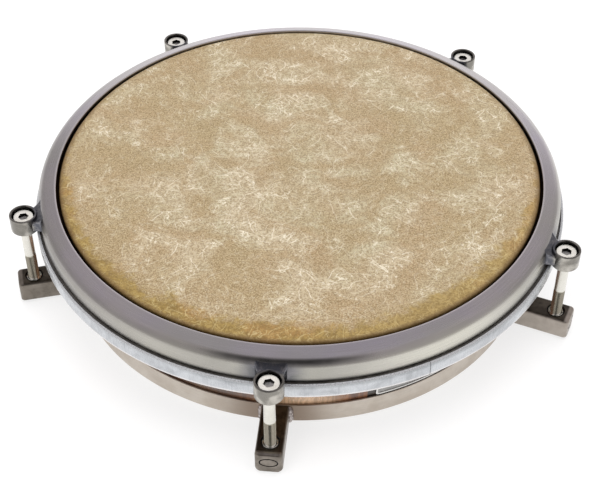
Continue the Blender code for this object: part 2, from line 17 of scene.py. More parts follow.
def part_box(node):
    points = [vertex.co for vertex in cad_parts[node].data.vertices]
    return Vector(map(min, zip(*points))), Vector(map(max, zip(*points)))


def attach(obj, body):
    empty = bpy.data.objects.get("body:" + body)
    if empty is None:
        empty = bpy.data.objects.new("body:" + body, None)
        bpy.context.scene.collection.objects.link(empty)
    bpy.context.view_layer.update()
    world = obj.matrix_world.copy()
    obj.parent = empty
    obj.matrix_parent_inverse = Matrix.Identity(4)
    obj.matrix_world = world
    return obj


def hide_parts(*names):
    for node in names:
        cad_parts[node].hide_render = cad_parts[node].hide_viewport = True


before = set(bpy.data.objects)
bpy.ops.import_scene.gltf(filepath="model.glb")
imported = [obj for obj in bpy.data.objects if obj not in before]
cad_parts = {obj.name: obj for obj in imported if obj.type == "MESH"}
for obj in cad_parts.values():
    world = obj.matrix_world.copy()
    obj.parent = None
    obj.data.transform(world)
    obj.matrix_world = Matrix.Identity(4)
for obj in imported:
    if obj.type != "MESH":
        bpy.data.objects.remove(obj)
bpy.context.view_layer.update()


def ring_sizes(node):
    """Outer radius, lowest and highest height of a CAD node that goes round the drum."""
    low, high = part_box(node)
    return (high.x - low.x) / 2, low.z, high.z


# Rings, from the frame
HOOP_OUTER, HOOP_BOTTOM, HOOP_TOP = ring_sizes("counter_hoop")
FLESH_OUTER, FLESH_BOTTOM, FLESH_TOP = ring_sizes("flesh_hoop")
BAND_OUTER, BAND_BOTTOM, BAND_TOP = ring_sizes("chassis_ring")
SHELL_OUTER, SHELL_BOTTOM, SHELL_TOP = ring_sizes("wood_shell")
SKIRT_OUTER, SKIRT_BOTTOM, FILM_TOP = ring_sizes("drum_head")
RESIN_OUTER, RESIN_BOTTOM, RESIN_TOP = ring_sizes("head_resin")
AXIS_Y = (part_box("counter_hoop")[0].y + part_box("counter_hoop")[1].y) / 2

# Station pieces, from the frame: station 1 points along -Y
STATIONS = 5
BOLT_LOW, BOLT_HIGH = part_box("tension_bolt_1")
BUSH_LOW, BUSH_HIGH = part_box("lug_bush_1")
WASHER_LOW, WASHER_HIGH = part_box("bolt_washer_1")
ARM_LOW, ARM_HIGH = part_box("lug_arm_1")
EAR_LOW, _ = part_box("hoop_ear_1")
BOLT_CIRCLE = AXIS_Y - (BOLT_LOW.y + BOLT_HIGH.y) / 2
HEAD_RADIUS = (BOLT_HIGH.y - BOLT_LOW.y) / 2
BUSH_RADIUS = (BUSH_HIGH.y - BUSH_LOW.y) / 2
WASHER_RADIUS = (WASHER_HIGH.y - WASHER_LOW.y) / 2
CUP_RADIUS = AXIS_Y - EAR_LOW.y - BOLT_CIRCLE
ARM_REACH = AXIS_Y - ARM_LOW.y
ARM_WIDTH = ARM_HIGH.x - ARM_LOW.x
AT_BOLT = Matrix.Translation((BOLT_CIRCLE, 0, 0))

# Counterhoop section
HOOP_SHEET = 0.0024
HOOP_INNER = 0.1524
HOOP_SLOPE = radians(17)
HOOP_SHOULDER = 0.008
HOOP_RIM_ROUND = 0.0007
HOOP_FOOT_ROUND = 0.0005

# Head and flesh hoop section
FILM_THICKNESS = 0.0005
FILM_OUTER = SHELL_OUTER + 0.0014
FILM_SHOULDER = 0.0016
FILM_OFFSET = 0.0008
COLLAR_DROP = 0.0075
FLESH_INNER = 0.155
FLESH_WALL = 0.0016
FLESH_ROUND = 0.0018
FLESH_EDGE_ROUND = 0.0013
FLESH_SEAM_AZIMUTH = radians(31.5)
FLESH_SEAM_GAP = 0.0003

# Shell and chassis ring section
SHELL_WALL = 0.006
SHELL_FOOT = 0.1453
SHELL_STRAIGHT = 0.024
SHELL_EDGE = 0.003
BAND_WALL = 0.0014
LEDGE_WIDTH = 0.0075
LEDGE_THICKNESS = 0.0022

# Plate on the shell
PLATE_AZIMUTH = radians(34.9)
PLATE_LENGTH = 0.06
PLATE_HEIGHT = 0.015
PLATE_THICKNESS = 0.0008
PLATE_CORNER = 0.0022
PLATE_RISE = 0.0009
PLATE_RIM = 0.0011
PLATE_SINK = 0.0004
PLATE_SEAT = 0.0003
PLATE_SURROUND = 0.0056

# Lug arms
ARM_LIP_DROP = 0.001
ARM_LIP_LENGTH = 0.0034
ARM_TOP_ROUND = 0.002
ARM_FOOT_ROUND = 0.0026
ARM_END_ROUND = 0.0025
ARM_RECESS = 0.00555
ARM_RECESS_DEPTH = 0.0015
ARM_FLOOR = 0.002
ARM_TOP = BAND_TOP - 0.0004
OVAL_LENGTH = 0.0112
OVAL_HEIGHT = 0.007
OVAL_HEIGHT_AT = 0.0094
OVAL_DEPTH = 0.0005
OVAL_ISLAND = 0.0008
WELD_DEPTH = 0.0003
WELD_RADII = (0.0018, 0.0022)
WELD_RIPPLES = (6.5, 8.5)
WELD_LUMPS = 650

# Ears
CUP_TOP = 0.068
CUP_BORE = 0.00705
CUP_FLOOR = 0.002
CUP_ROUND = 0.0006
CUP_LIP = 0.0004
WEB_CUP_HALF_WIDTH = 0.0071
WEB_REACH = 0.1612
WEB_FLARE = 0.004
WEB_CUP_TOP = 0.0654
WEB_RISE = 0.005
WEB_FOOT = 0.0009
WEB_CORNER = 0.002

# Bolts, bushes and washers
HEAD_HEIGHT = 0.006
HEAD_CHAMFER = 0.0008
HEAD_EASE = 0.0002
SOCKET_FLATS = 0.0056
SOCKET_CORNER = SOCKET_FLATS / 2 / cos(pi / 6)
SOCKET_DEPTH = 0.0026
SHANK_RADIUS = 0.00345
SHANK_HOLE = SHANK_RADIUS + 0.0005
PLAIN_LENGTH = 0.025
TIP_CHAMFER = 0.0006
THREAD_RADIUS = 0.0035
THREAD_DEPTH = 0.00055
THREAD_PITCH = 0.001
BUSH_BORE = 0.0038
BUSH_MOUTH = 0.001
BUSH_EASE = 0.0002
WASHER_EASE = 0.00015

# Facets
HARD_EDGE = radians(32)
RING_STEPS = 288
CUTTER_STEPS = 720
CUP_STEPS = 72
WEB_STEPS = 18
BOLT_STEPS = 36
ROWS_PER_PITCH = 8
OVAL_STEPS = 48
BEAD_STEPS = 46
BEAD_SIDES = 18

# What a face may lie off the shape that it is tested for
SLACK = 0.0001

# Stage
FLOOR_GLOW = 0.74
SKY_STOPS = (
    (0, (1.42, 1.39, 1.44)),
    (0.22, (1.28, 1.24, 1.31)),
    (0.5, (0.58, 0.56, 0.6)),
    (0.72, (0.62, 0.6, 0.63)),
    (0.95, (0.6, 0.58, 0.62)),
)
SIDE_STOPS = (
    (0, (0.62, 0.6, 0.58)),
    (0.3, (0.54, 0.52, 0.52)),
    (0.6, (0.6, 0.57, 0.57)),
    (0.82, (0.66, 0.62, 0.62)),
    (0.95, (0.6, 0.58, 0.62)),
)
BACKDROP = (0.68, 0.95)
DARK_GAP = (0.89, 0.975)
DARK_GAP_COLOUR = (0.055, 0.055, 0.055)
DARK_GAP_DIRECTION = Vector((-0.02, -0.69, 0.72))

# Camera, fitted to the photograph
CAMERA_PLACE = Vector((0.06256, -0.64212, 0.61443))
CAMERA_TARGET = Vector((0.00562, -0.04731, 0.054))
CAMERA_LENS = 80.62


def arc(r, z, radius, start, end, count=12):
    """Points (r, z) on an arc, with angles in radians from the outward direction."""
    angles = [start + (end - start) * index / count for index in range(count + 1)]
    return [(r + radius * cos(angle), z + radius * sin(angle)) for angle in angles]


def rounded(corners, count=4):
    """A closed outline from corners (r, z, radius), each rounded by its own radius."""
    outline = []
    for index, (r, z, radius) in enumerate(corners):
        here = Vector((r, z))
        back = (Vector(corners[index - 1][:2]) - here).normalized()
        ahead = (Vector(corners[(index + 1) % len(corners)][:2]) - here).normalized()
        half = back.angle(ahead) / 2
        centre = here + (back + ahead).normalized() * radius / sin(half)
        first = here + back * radius / tan(half) - centre
        last = here + ahead * radius / tan(half) - centre
        start = atan2(first.y, first.x)
        turn = (atan2(last.y, last.x) - start + pi) % (2 * pi) - pi
        outline += arc(centre.x, centre.y, radius, start, start + turn, count)
    return outline


def rounded_box(left, right, low, high, low_round, high_round, count=4):
    """A rectangle's outline with rounded corners, from its upper right one."""
    top = [(right, high, high_round), (left, high, high_round)]
    return rounded(top + [(left, low, low_round), (right, low, low_round)], count)


def link(name, data):
    """A new object in the scene."""
    obj = bpy.data.objects.new(name, data)
    bpy.context.scene.collection.objects.link(obj)
    return obj


def finish(name, mesh, material, body, slot_name, *nodes, edge_angle=HARD_EDGE):
    """Makes the shown object of a mesh: shaded, painted, riding on its body in place of CAD nodes."""
    mesh.name = name
    mesh.shade_smooth()
    mesh.set_sharp_from_angle(angle=edge_angle)
    if not mesh.materials:
        mesh.materials.append(material)
    obj = link(name, mesh)
    obj.modifiers.new("even_normals", "WEIGHTED_NORMAL").keep_sharp = True
    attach(obj, body)
    if nodes:
        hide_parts(*nodes)


def grid_mesh(rows, closed_rows=True, caps=(None, None), loop=False):
    """A mesh from rows of points, each row joined to the next.

    closed_rows joins each row's ends, loop joins the last row to the first, and a cap is the point that
    closes the first or the last row.
    """
    shape = bmesh.new()
    made = [[shape.verts.new(point) for point in row] for row in rows]
    count = len(made[0])
    pairs = list(zip(made, made[1:])) + ([(made[-1], made[0])] if loop else [])
    for upper, lower in pairs:
        for index in range(count if closed_rows else count - 1):
            after = (index + 1) % count
            shape.faces.new((upper[index], lower[index], lower[after], upper[after]))
    for row, cap in zip((made[0], made[-1]), caps):
        if cap is not None:
            tip = shape.verts.new(cap)
            for index in range(count):
                shape.faces.new((row[index], row[(index + 1) % count], tip))
    bmesh.ops.recalc_face_normals(shape, faces=shape.faces)
    mesh = bpy.data.meshes.new("piece")
    shape.to_mesh(mesh)
    shape.free()
    return mesh


def ring_rows(section, start=0, sweep=2 * pi, steps=RING_STEPS, y=AXIS_Y):
    """The section's points turned about an upright axis, one row for each angle."""
    angles = [start + sweep * step / steps for step in range(steps if sweep == 2 * pi else steps + 1)]
    return [[(r * cos(angle), y + r * sin(angle), z) for r, z in section] for angle in angles]


def ring_mesh(section, steps=RING_STEPS, y=AXIS_Y):
    """A whole ring with a closed section."""
    return grid_mesh(ring_rows(section, steps=steps, y=y), loop=True)


def spun_rings(rows, steps):
    """Rows (radius, z) turned about the z axis. A radius may be a function of the angle."""
    rings = []
    for radius, z in rows:
        ring = []
        for step in range(steps):
            angle = 2 * pi * step / steps
            r = radius(angle) if callable(radius) else radius
            ring.append((r * cos(angle), r * sin(angle), z))
        rings.append(ring)
    return rings


def spun_mesh(rows, steps):
    """A solid on the z axis, from rows (radius, z) that start and end on it."""
    caps = ((0, 0, rows[0][1]), (0, 0, rows[-1][1]))
    return grid_mesh(spun_rings(rows[1:-1], steps), caps=caps)


def sleeve_mesh(rows, steps):
    """A closed sleeve round the z axis. Its rows (radius, z) run down the outside and up the bore."""
    return grid_mesh(spun_rings(rows, steps), loop=True)


def station_matrix(index):
    """From a station's own space to the frame."""
    turn = Matrix.Rotation(-pi / 2 + index * 2 * pi / STATIONS, 4, "Z")
    return Matrix.Translation((0, AXIS_Y, 0)) @ turn


def combined(mesh, *steps):
    """The mesh after exact Booleans with cutter meshes, given as (operation, mesh)."""
    base = link("base", mesh)
    helpers = [base]
    for operation, tool in steps:
        helpers.append(link("cutter", tool))
        modifier = base.modifiers.new("cut", "BOOLEAN")
        modifier.object = helpers[-1]
        modifier.operation = operation
        modifier.solver = "EXACT"
    bpy.context.view_layer.update()
    graph = bpy.context.evaluated_depsgraph_get()
    result = bpy.data.meshes.new_from_object(base.evaluated_get(graph))
    for helper in helpers:
        bpy.data.meshes.remove(helper.data)
    return result


def moved(mesh, matrix):
    """A copy of a mesh in another place."""
    copy = mesh.copy()
    copy.transform(matrix)
    return copy


def finish_stations(master, name, material, body, slot_name, node, place=Matrix()):
    """Copies of a mesh at the five stations, each in place of its numbered node."""
    for index in range(STATIONS):
        mesh = moved(master, station_matrix(index) @ place)
        finish(f"{name}_{index + 1}", mesh, material, body, slot_name, f"{node}_{index + 1}")


def from_bolt(at):
    """Distance from the bolt's axis, in a station's own space."""
    return (at.xy - Vector((BOLT_CIRCLE, 0))).length


def two_materials(mesh, material, second, test):
    """Gives a mesh two materials: the faces whose middle passes a test get the second."""
    mesh.materials.clear()
    mesh.materials.append(material)
    mesh.materials.append(second)
    for face in mesh.polygons:
        face.material_index = 1 if test(face.center) else 0


# Materials


class Nodes:
    """A node tree, with short calls that add and link its nodes."""

    def __init__(self, tree):
        self.tree = tree

    def feed(self, socket, value):
        """Links a socket to another, or sets its value."""
        if isinstance(value, bpy.types.NodeSocket):
            self.tree.links.new(value, socket)
        elif socket.type == "RGBA":
            socket.default_value = (*value, 1)
        else:
            socket.default_value = value

    def add(self, kind, inputs, **settings):
        """A new node's outputs. Its inputs are values in order, or a dict of values."""
        made = self.tree.nodes.new("ShaderNode" + kind)
        for key, value in settings.items():
            setattr(made, key, value)
        for key in inputs if isinstance(inputs, dict) else range(len(inputs)):
            self.feed(made.inputs[key], inputs[key])
        return made.outputs

    def math(self, operation, *values):
        """A Math node's result."""
        return self.add("Math", values, operation=operation)[0]

    def line(self, value, slope, start):
        """The value times a slope, added to a start."""
        return self.math("MULTIPLY_ADD", value, slope, start)

    def times(self, *values):
        """The product of the values."""
        return reduce(lambda a, b: self.math("MULTIPLY", a, b), values)

    def highest(self, values):
        """The highest of the values."""
        return reduce(lambda a, b: self.math("MAXIMUM", a, b), values)

    def vector(self, operation, *values):
        """A Vector Math node's vector."""
        return self.add("VectorMath", values, operation=operation)[0]

    def range(self, value, low, high, to_low=0, to_high=1):
        """The value mapped smoothly from one range to another, and held at its ends."""
        values = (value, low, high, to_low, to_high)
        return self.add("MapRange", values, interpolation_type="SMOOTHSTEP")[0]

    def mix(self, share, a, b):
        """Colour a with a share of colour b."""
        return self.add("Mix", {0: share, 6: a, 7: b}, data_type="RGBA")[2]

    def over(self, base, colour, *limits):
        """The base with a share of another colour, which follows range's arguments."""
        return self.mix(self.range(*limits), base, colour)

    def layers(self, base, *layers):
        """The base under layers (colour, share), or (colour, range's arguments)."""
        for colour, *share in layers:
            base = self.over(base, colour, *share) if share[1:] else self.mix(*share, base, colour)
        return base

    def ramp(self, value, stops):
        """The colour at a value, between stops (position, colour)."""
        made = self.tree.nodes.new("ShaderNodeValToRGB")
        self.feed(made.inputs[0], value)
        elements = made.color_ramp.elements
        while len(elements) < len(stops):
            elements.new(0.5)
        for element, (position, colour) in zip(elements, stops):
            element.position = position
            element.color = (*colour, 1)
        return made.outputs[0]


class Paint(Nodes):
    """One material's node tree."""

    def __init__(self, name):
        self.material = bpy.data.materials.new(name)
        self.material.use_nodes = True
        super().__init__(self.material.node_tree)
        self.place = self.add("TexCoord", ())["Object"]

    def shade(self, colour, roughness, **others):
        """Feeds the shader's inputs, such as Coat_Weight, and gives the material."""
        shader = self.tree.nodes["Principled BSDF"]
        for key, value in dict(Base_Color=colour, Roughness=roughness, **others).items():
            self.feed(shader.inputs[key.replace("_", " ")], value)
        return self.material

    def metal(self, colour, roughness, normal, metallic=1, **others):
        """Feeds the shader with a metal's inputs."""
        return self.shade(colour, roughness, Metallic=metallic, Normal=normal, **others)

    def noise(self, scale, detail=3, rough=0.55, warp=0, at=None, output="Fac"):
        """Noise of a scale in cycles per metre, in the frame's space or at another vector."""
        inputs = {"Scale": scale, "Detail": detail, "Roughness": rough, "Distortion": warp}
        inputs["Vector"] = self.place if at is None else at
        return self.add("TexNoise", inputs)[output]

    def streaks(self, scale, detail, rough, warp=0):
        """Noise with a scale for each axis."""
        return self.noise(1, detail, rough, warp, self.vector("MULTIPLY", self.place, scale))

    def round_streaks(self, along, across):
        """Noise that follows the rim with no seam: few cycles along it, many across it."""
        x, y, z = self.axes
        turned = [self.times(self.math("DIVIDE", value, self.radius), along) for value in (x, y)]
        outwards = self.times(self.math("ADD", self.radius, z), across)
        return self.noise(1, 4, 0.6, at=self.add("CombineXYZ", (*turned, outwards))[0])

    @cached_property
    def axes(self):
        """x, y and z of the place, with y measured from the drum's axis."""
        x, y, z = self.add("SeparateXYZ", (self.place,))
        return x, self.math("SUBTRACT", y, AXIS_Y), z

    @cached_property
    def radius(self):
        """Distance from the drum's axis."""
        x, y, _ = self.axes
        return self.math("SQRT", self.math("MULTIPLY_ADD", x, x, self.times(y, y)))

    @cached_property
    def to_station(self):
        """Distance along the rim to the nearest station, in metres."""
        x, y, _ = self.axes
        angle = self.math("ADD", self.math("ARCTAN2", y, x), pi / 2 + 4 * pi)
        return self.times(self.math("PINGPONG", angle, pi / STATIONS), HOOP_OUTER)

    def strands(self, vector, layers, seed):
        """Short fibres lying every way: one bent line in each Voronoi cell of each (scale, width) layer."""
        found = []
        for number, (scale, width) in enumerate(layers):
            shift = (seed + 7.3 * number, seed * 2 + 3.1 * number, 0)
            place = self.vector("MULTIPLY_ADD", vector, (scale, scale, 0), shift)
            cells = self.add("TexVoronoi", {"Vector": place, "Scale": 1}, voronoi_dimensions="2D")
            turn, bend, strength = self.add("SeparateColor", (cells["Color"],))
            spoke = self.vector("SUBTRACT", place, cells["Position"])
            turned = {"Vector": spoke, "Angle": self.times(turn, 2 * pi)}
            spun = self.add("VectorRotate", turned, rotation_type="Z_AXIS")[0]
            along, across, _ = self.add("SeparateXYZ", (spun,))
            off = self.math("ABSOLUTE", self.math("ADD", across, self.times(along, along, bend)))
            line = self.range(off, 0, width, 1, 0)
            ends = self.range(self.math("ABSOLUTE", along), 0.3, 0.55, 1, 0)
            found.append(self.times(line, ends, strength))
        return self.highest(found)

    def drifted(self, vector, scale, amount):
        """The vector pushed about sideways by a noise, so that what it paints looks torn."""
        push = self.noise(scale, 3, 0.6, at=vector, output="Color")
        return self.vector("MULTIPLY_ADD", push, (amount, amount, 0), vector)

    def creases(self, vector, layers, seed):
        """Broken crinkle lines: where a noise of each (scale, width) layer crosses its middle."""
        found = []
        for number, (scale, width) in enumerate(layers):
            place = self.vector("ADD", vector, (seed + 1.7 * number, seed * 0.6 - 2.3 * number, 0))
            folds = self.noise(scale, 4, 0.62, 0.5, place)
            off = self.math("ABSOLUTE", self.math("SUBTRACT", folds, 0.5))
            kept = self.range(self.noise(scale * 1.9, 2, 0.5, at=place), 0.5, 0.62)
            found.append(self.times(self.range(off, 0, width, 1, 0), kept))
        return self.highest(found)

    def bump(self, height, strength, distance, **onto):
        """A Bump node's normal, which may lie on another given as Normal."""
        inputs = dict(Height=height, Strength=strength, Distance=distance, **onto)
        return self.add("Bump", inputs)[0]


def hoop_material():
    """Satin nickel on rolled sheet, heat-tinted at the ears; painted reflection: lavender slope, warmer
    wall.
    """
    paint = Paint("hoop_satin_steel")
    x, y, z = paint.axes
    brushed = paint.round_streaks(6, 2600)
    cloud = paint.noise(28, 4, 0.6)
    mottle = paint.noise(120, 2, 0.5, 0.3)
    # Painted reflection: the slope is darker and partly lavender, the wall below it lighter and warmer.
    slope = paint.layers(
        (0.44, 0.425, 0.415),
        ((0.445, 0.415, 0.455), paint.noise(14, 2, 0.5), 0.42, 0.58),
        # Painted shade: the slope is darker at the far left.
        ((0.26, 0.245, 0.245), x, -0.165, -0.12, 0.36, 0),
    )
    # Painted reflection: a dark band on the shoulder near the front ear, fading out to its left.
    painted_dark_reflection = paint.times(
        paint.range(z, HOOP_TOP - 0.007, HOOP_TOP - 0.0044),
        paint.range(z, HOOP_TOP - 0.0036, HOOP_TOP - 0.0022, 1, 0),
        paint.range(paint.to_station, 0.03, 0.066, 0.88, 0),
        paint.range(y, -0.14, -0.09, 1, 0),
        paint.range(x, -0.046, -0.012),
    )
    heated = paint.times(
        paint.range(paint.line(mottle, -0.006, paint.to_station), 0.005, 0.019, 1, 0),
        paint.range(paint.line(mottle, 0.0044, z), HOOP_TOP - 0.0046, HOOP_TOP - 0.0006, 1, 0),
        paint.range(paint.radius, HOOP_OUTER - 0.0085, HOOP_OUTER - 0.004, 0, 0.88),
    )
    coloured = paint.layers(
        (0.635, 0.62, 0.545),
        # Painted shade: the wall is darker within a few centimetres of each ear.
        ((0.375, 0.365, 0.325), paint.to_station, 0.03, 0.08, 0.95, 0),
        # Painted shade: the wall is darker towards the left.
        ((0.225, 0.21, 0.195), x, -0.13, 0, 0.8, 0),
        (slope, z, HOOP_TOP - 0.008, HOOP_TOP - 0.0008),
        ((0.09, 0.088, 0.09), painted_dark_reflection),
        ((0.49, 0.47, 0.44), cloud, 0.35, 0.7, 0, 0.4),
        ((0.3, 0.285, 0.275), brushed, 0.3, 0.75, 0, 0.22),
        # Painted highlight: a pale line along the inner rim.
        ((0.86, 0.82, 0.83), paint.radius, HOOP_INNER + 0.0008, HOOP_INNER + 0.0014, 0.42, 0),
        (paint.over((0.085, 0.09, 0.108), (0.19, 0.185, 0.205), mottle, 0.4, 0.66), heated),
    )
    normal = paint.bump(brushed, 0.12, 0.0002, Normal=paint.bump(cloud, 0.05, 0.0008))
    return paint.metal(coloured, paint.range(brushed, 0.25, 0.8, 0.25, 0.35), normal, Anisotropic=0.35)


def recess_material(name, deep, worn):
    """Dull steel for socket bottoms, or near-black steel as painted shade in bores, mottled between two
    colours.
    """
    paint = Paint(name)
    cloud = paint.noise(600, 4, 0.6)
    base = paint.over(deep, worn, cloud, 0.3, 0.7)
    return paint.metal(base, paint.range(cloud, 0.3, 0.7, 0.35, 0.55), paint.bump(cloud, 0.1, 0.0002))


def arm_material():
    """The arms' blasted steel: beige-grey, with a painted dark reflection on the flat of the top."""
    paint = Paint("arm_blasted_steel")
    x, _, z = paint.axes
    cloud = paint.noise(170, 5, 0.62, 0.4)
    grain = paint.noise(2300, 3, 0.6)
    # Painted reflection: the flat of the top, short of the end, is painted near black.
    painted_top_reflection = paint.over((0.03, 0.024, 0.017), (0.06, 0.05, 0.038), cloud, 0.35, 0.65)
    on_top = paint.range(z, ARM_TOP - 0.0011, ARM_TOP - 0.0001)
    short = paint.range(paint.radius, ARM_REACH - 0.0036, ARM_REACH - 0.0022, 0.92, 0)
    coloured = paint.layers(
        (0.175, 0.154, 0.13),
        ((0.28, 0.249, 0.216), cloud, 0.32, 0.68),
        ((0.42, 0.378, 0.336), paint.noise(48, 3, 0.6), 0.46, 0.62, 0, 0.4),
        # Painted shade on the left arms and painted light on the right ones.
        ((0.12, 0.103, 0.083), x, -0.17, -0.06, 0.45, 0),
        ((0.56, 0.5, 0.445), x, 0.06, 0.16, 0, 0.45),
        (painted_top_reflection, paint.times(on_top, short)),
    )
    normal = paint.bump(grain, 0.1, 0.00012, Normal=paint.bump(cloud, 0.1, 0.0003))
    return paint.metal(coloured, paint.range(cloud, 0.3, 0.75, 0.42, 0.3), normal)


def ear_material():
    """The ears' steel: satin on the cup, dark, mottled and heat-tinted towards the hoop."""
    paint = Paint("ear_heat_tinted_steel")
    fine = paint.noise(420, 5, 0.62, 0.4)
    cloud = paint.noise(170, 4, 0.6)
    burnt = paint.over((0.108, 0.112, 0.13), (0.225, 0.22, 0.234), fine, 0.42, 0.68)
    wander = paint.times(paint.math("SUBTRACT", cloud, 0.5), 0.008)
    inward = paint.math("ADD", paint.radius, wander)
    base = paint.layers(
        (0.33, 0.312, 0.28),
        ((0.52, 0.497, 0.452), cloud, 0.3, 0.7),
        ((0.15, 0.142, 0.126), paint.noise(90, 2, 0.5), 0.44, 0.58, 0, 0.7),
        # Painted reflection: the top of the cup's rim is darker.
        ((0.13, 0.125, 0.118), paint.axes[2], CUP_TOP - 0.0007, CUP_TOP - 0.0003, 0, 0.62),
        (burnt, inward, BOLT_CIRCLE - 0.0075, BOLT_CIRCLE - 0.003, 1, 0),
    )
    return paint.metal(base, paint.range(fine, 0.3, 0.75, 0.34, 0.22), paint.bump(fine, 0.1, 0.0002))


def bolt_material():
    """Bright nickel, turned: fine rings on the head and the shank."""
    paint = Paint("bolt_bright_nickel")
    turned = paint.streaks((40, 40, 2600), 3, 0.6)
    z = paint.axes[2]
    seat = BOLT_HIGH.z - HEAD_HEIGHT
    thread_top = seat - PLAIN_LENGTH
    on_thread = paint.times(
        paint.range(z, thread_top - 0.0006, thread_top, 0.85, 0),
        paint.range(z, BUSH_HIGH.z, BUSH_HIGH.z + 0.0003),
    )
    base = paint.layers(
        (0.86, 0.845, 0.79),
        ((0.74, 0.72, 0.65), paint.noise(140, 3, 0.5), 0.35, 0.75),
        # Painted shade: the shank is darker below the head.
        ((0.66, 0.645, 0.585), z, seat - 0.001, seat, 0.55, 0),
        # Painted shade: the thread is darker and browner, for the shade in its grooves.
        ((0.42, 0.395, 0.31), on_thread),
    )
    metallic = paint.range(z, seat - 0.0002, seat, 0.9, 0.62)
    roughness = paint.range(turned, 0.3, 0.75, 0.16, 0.26)
    return paint.metal(base, roughness, paint.bump(turned, 0.05, 0.0001), metallic)


def aluminium_material():
    """Bright drawn aluminium: fine upright streaks, faint blotches and a painted highlight on the lower lip.
    """
    paint = Paint("flesh_hoop_aluminium")
    x, _, z = paint.axes
    streak = paint.streaks((900, 900, 60), 4, 0.65)
    blotch = paint.noise(95, 5, 0.6, 0.5)
    ledge = paint.range(z, FLESH_TOP - 0.0014, FLESH_TOP - 0.0004)
    upper = paint.range(z, FLESH_TOP - 0.0036, FLESH_TOP - 0.001)
    coloured = paint.layers(
        (0.595, 0.615, 0.64),
        ((0.425, 0.44, 0.46), blotch, 0.35, 0.72),
        ((0.33, 0.345, 0.37), streak, 0.52, 0.74, 0, 0.45),
        # Painted shade under the counterhoop: the upper wall is darker, less so on the left.
        ((0.235, 0.25, 0.255), paint.times(upper, paint.range(x, -0.09, -0.01, 0.1, 0.5))),
        # Painted highlight: the lower lip is paler.
        ((0.95, 0.91, 0.9), z, FLESH_BOTTOM + 0.0014, FLESH_BOTTOM + 0.0028, 0.65, 0),
        # Painted light: the top ledge is grey and less metallic, so that it shows lit instead of reflecting.
        ((0.5, 0.51, 0.525), ledge),
    )
    roughness = paint.range(streak, 0.3, 0.75, 0.22, 0.38)
    normal = paint.bump(streak, 0.1, 0.0002, Normal=paint.bump(blotch, 0.08, 0.0006))
    # The metallic share drops on the ledge, as part of its painted light.
    return paint.metal(coloured, roughness, normal, paint.line(ledge, -0.55, 1))


def band_material():
    """The chassis ring: satin rolled strip with fine lines along it, darker and browner at the welds."""
    paint = Paint("band_satin_steel")
    lines = paint.round_streaks(9, 2400)
    cloud = paint.noise(60, 4, 0.6)
    coloured = paint.layers(
        (0.52, 0.455, 0.385),
        ((0.64, 0.58, 0.51), cloud, 0.3, 0.7),
        ((0.38, 0.35, 0.32), lines, 0.35, 0.75, 0, 0.25),
        ((0.24, 0.178, 0.135), paint.line(cloud, -0.008, paint.to_station), 0.008, 0.044, 0.85, 0),
    )
    normal = paint.bump(lines, 0.1, 0.0002)
    return paint.metal(coloured, paint.range(lines, 0.25, 0.8, 0.27, 0.38), normal, Anisotropic=0.3)


def weld_material():
    """A bare weld bead: pale, lumpy and scaled."""
    paint = Paint("weld_bead")
    scale = paint.noise(900, 5, 0.7, 0.8)
    cloud = paint.noise(420, 3, 0.6)
    pale = paint.over((0.3, 0.26, 0.25), (0.66, 0.61, 0.59), cloud, 0.35, 0.65)
    base = paint.over(pale, (0.16, 0.13, 0.12), scale, 0.5, 0.75, 0, 0.6)
    return paint.metal(base, paint.range(scale, 0.3, 0.7, 0.3, 0.55), paint.bump(scale, 0.5, 0.0004))


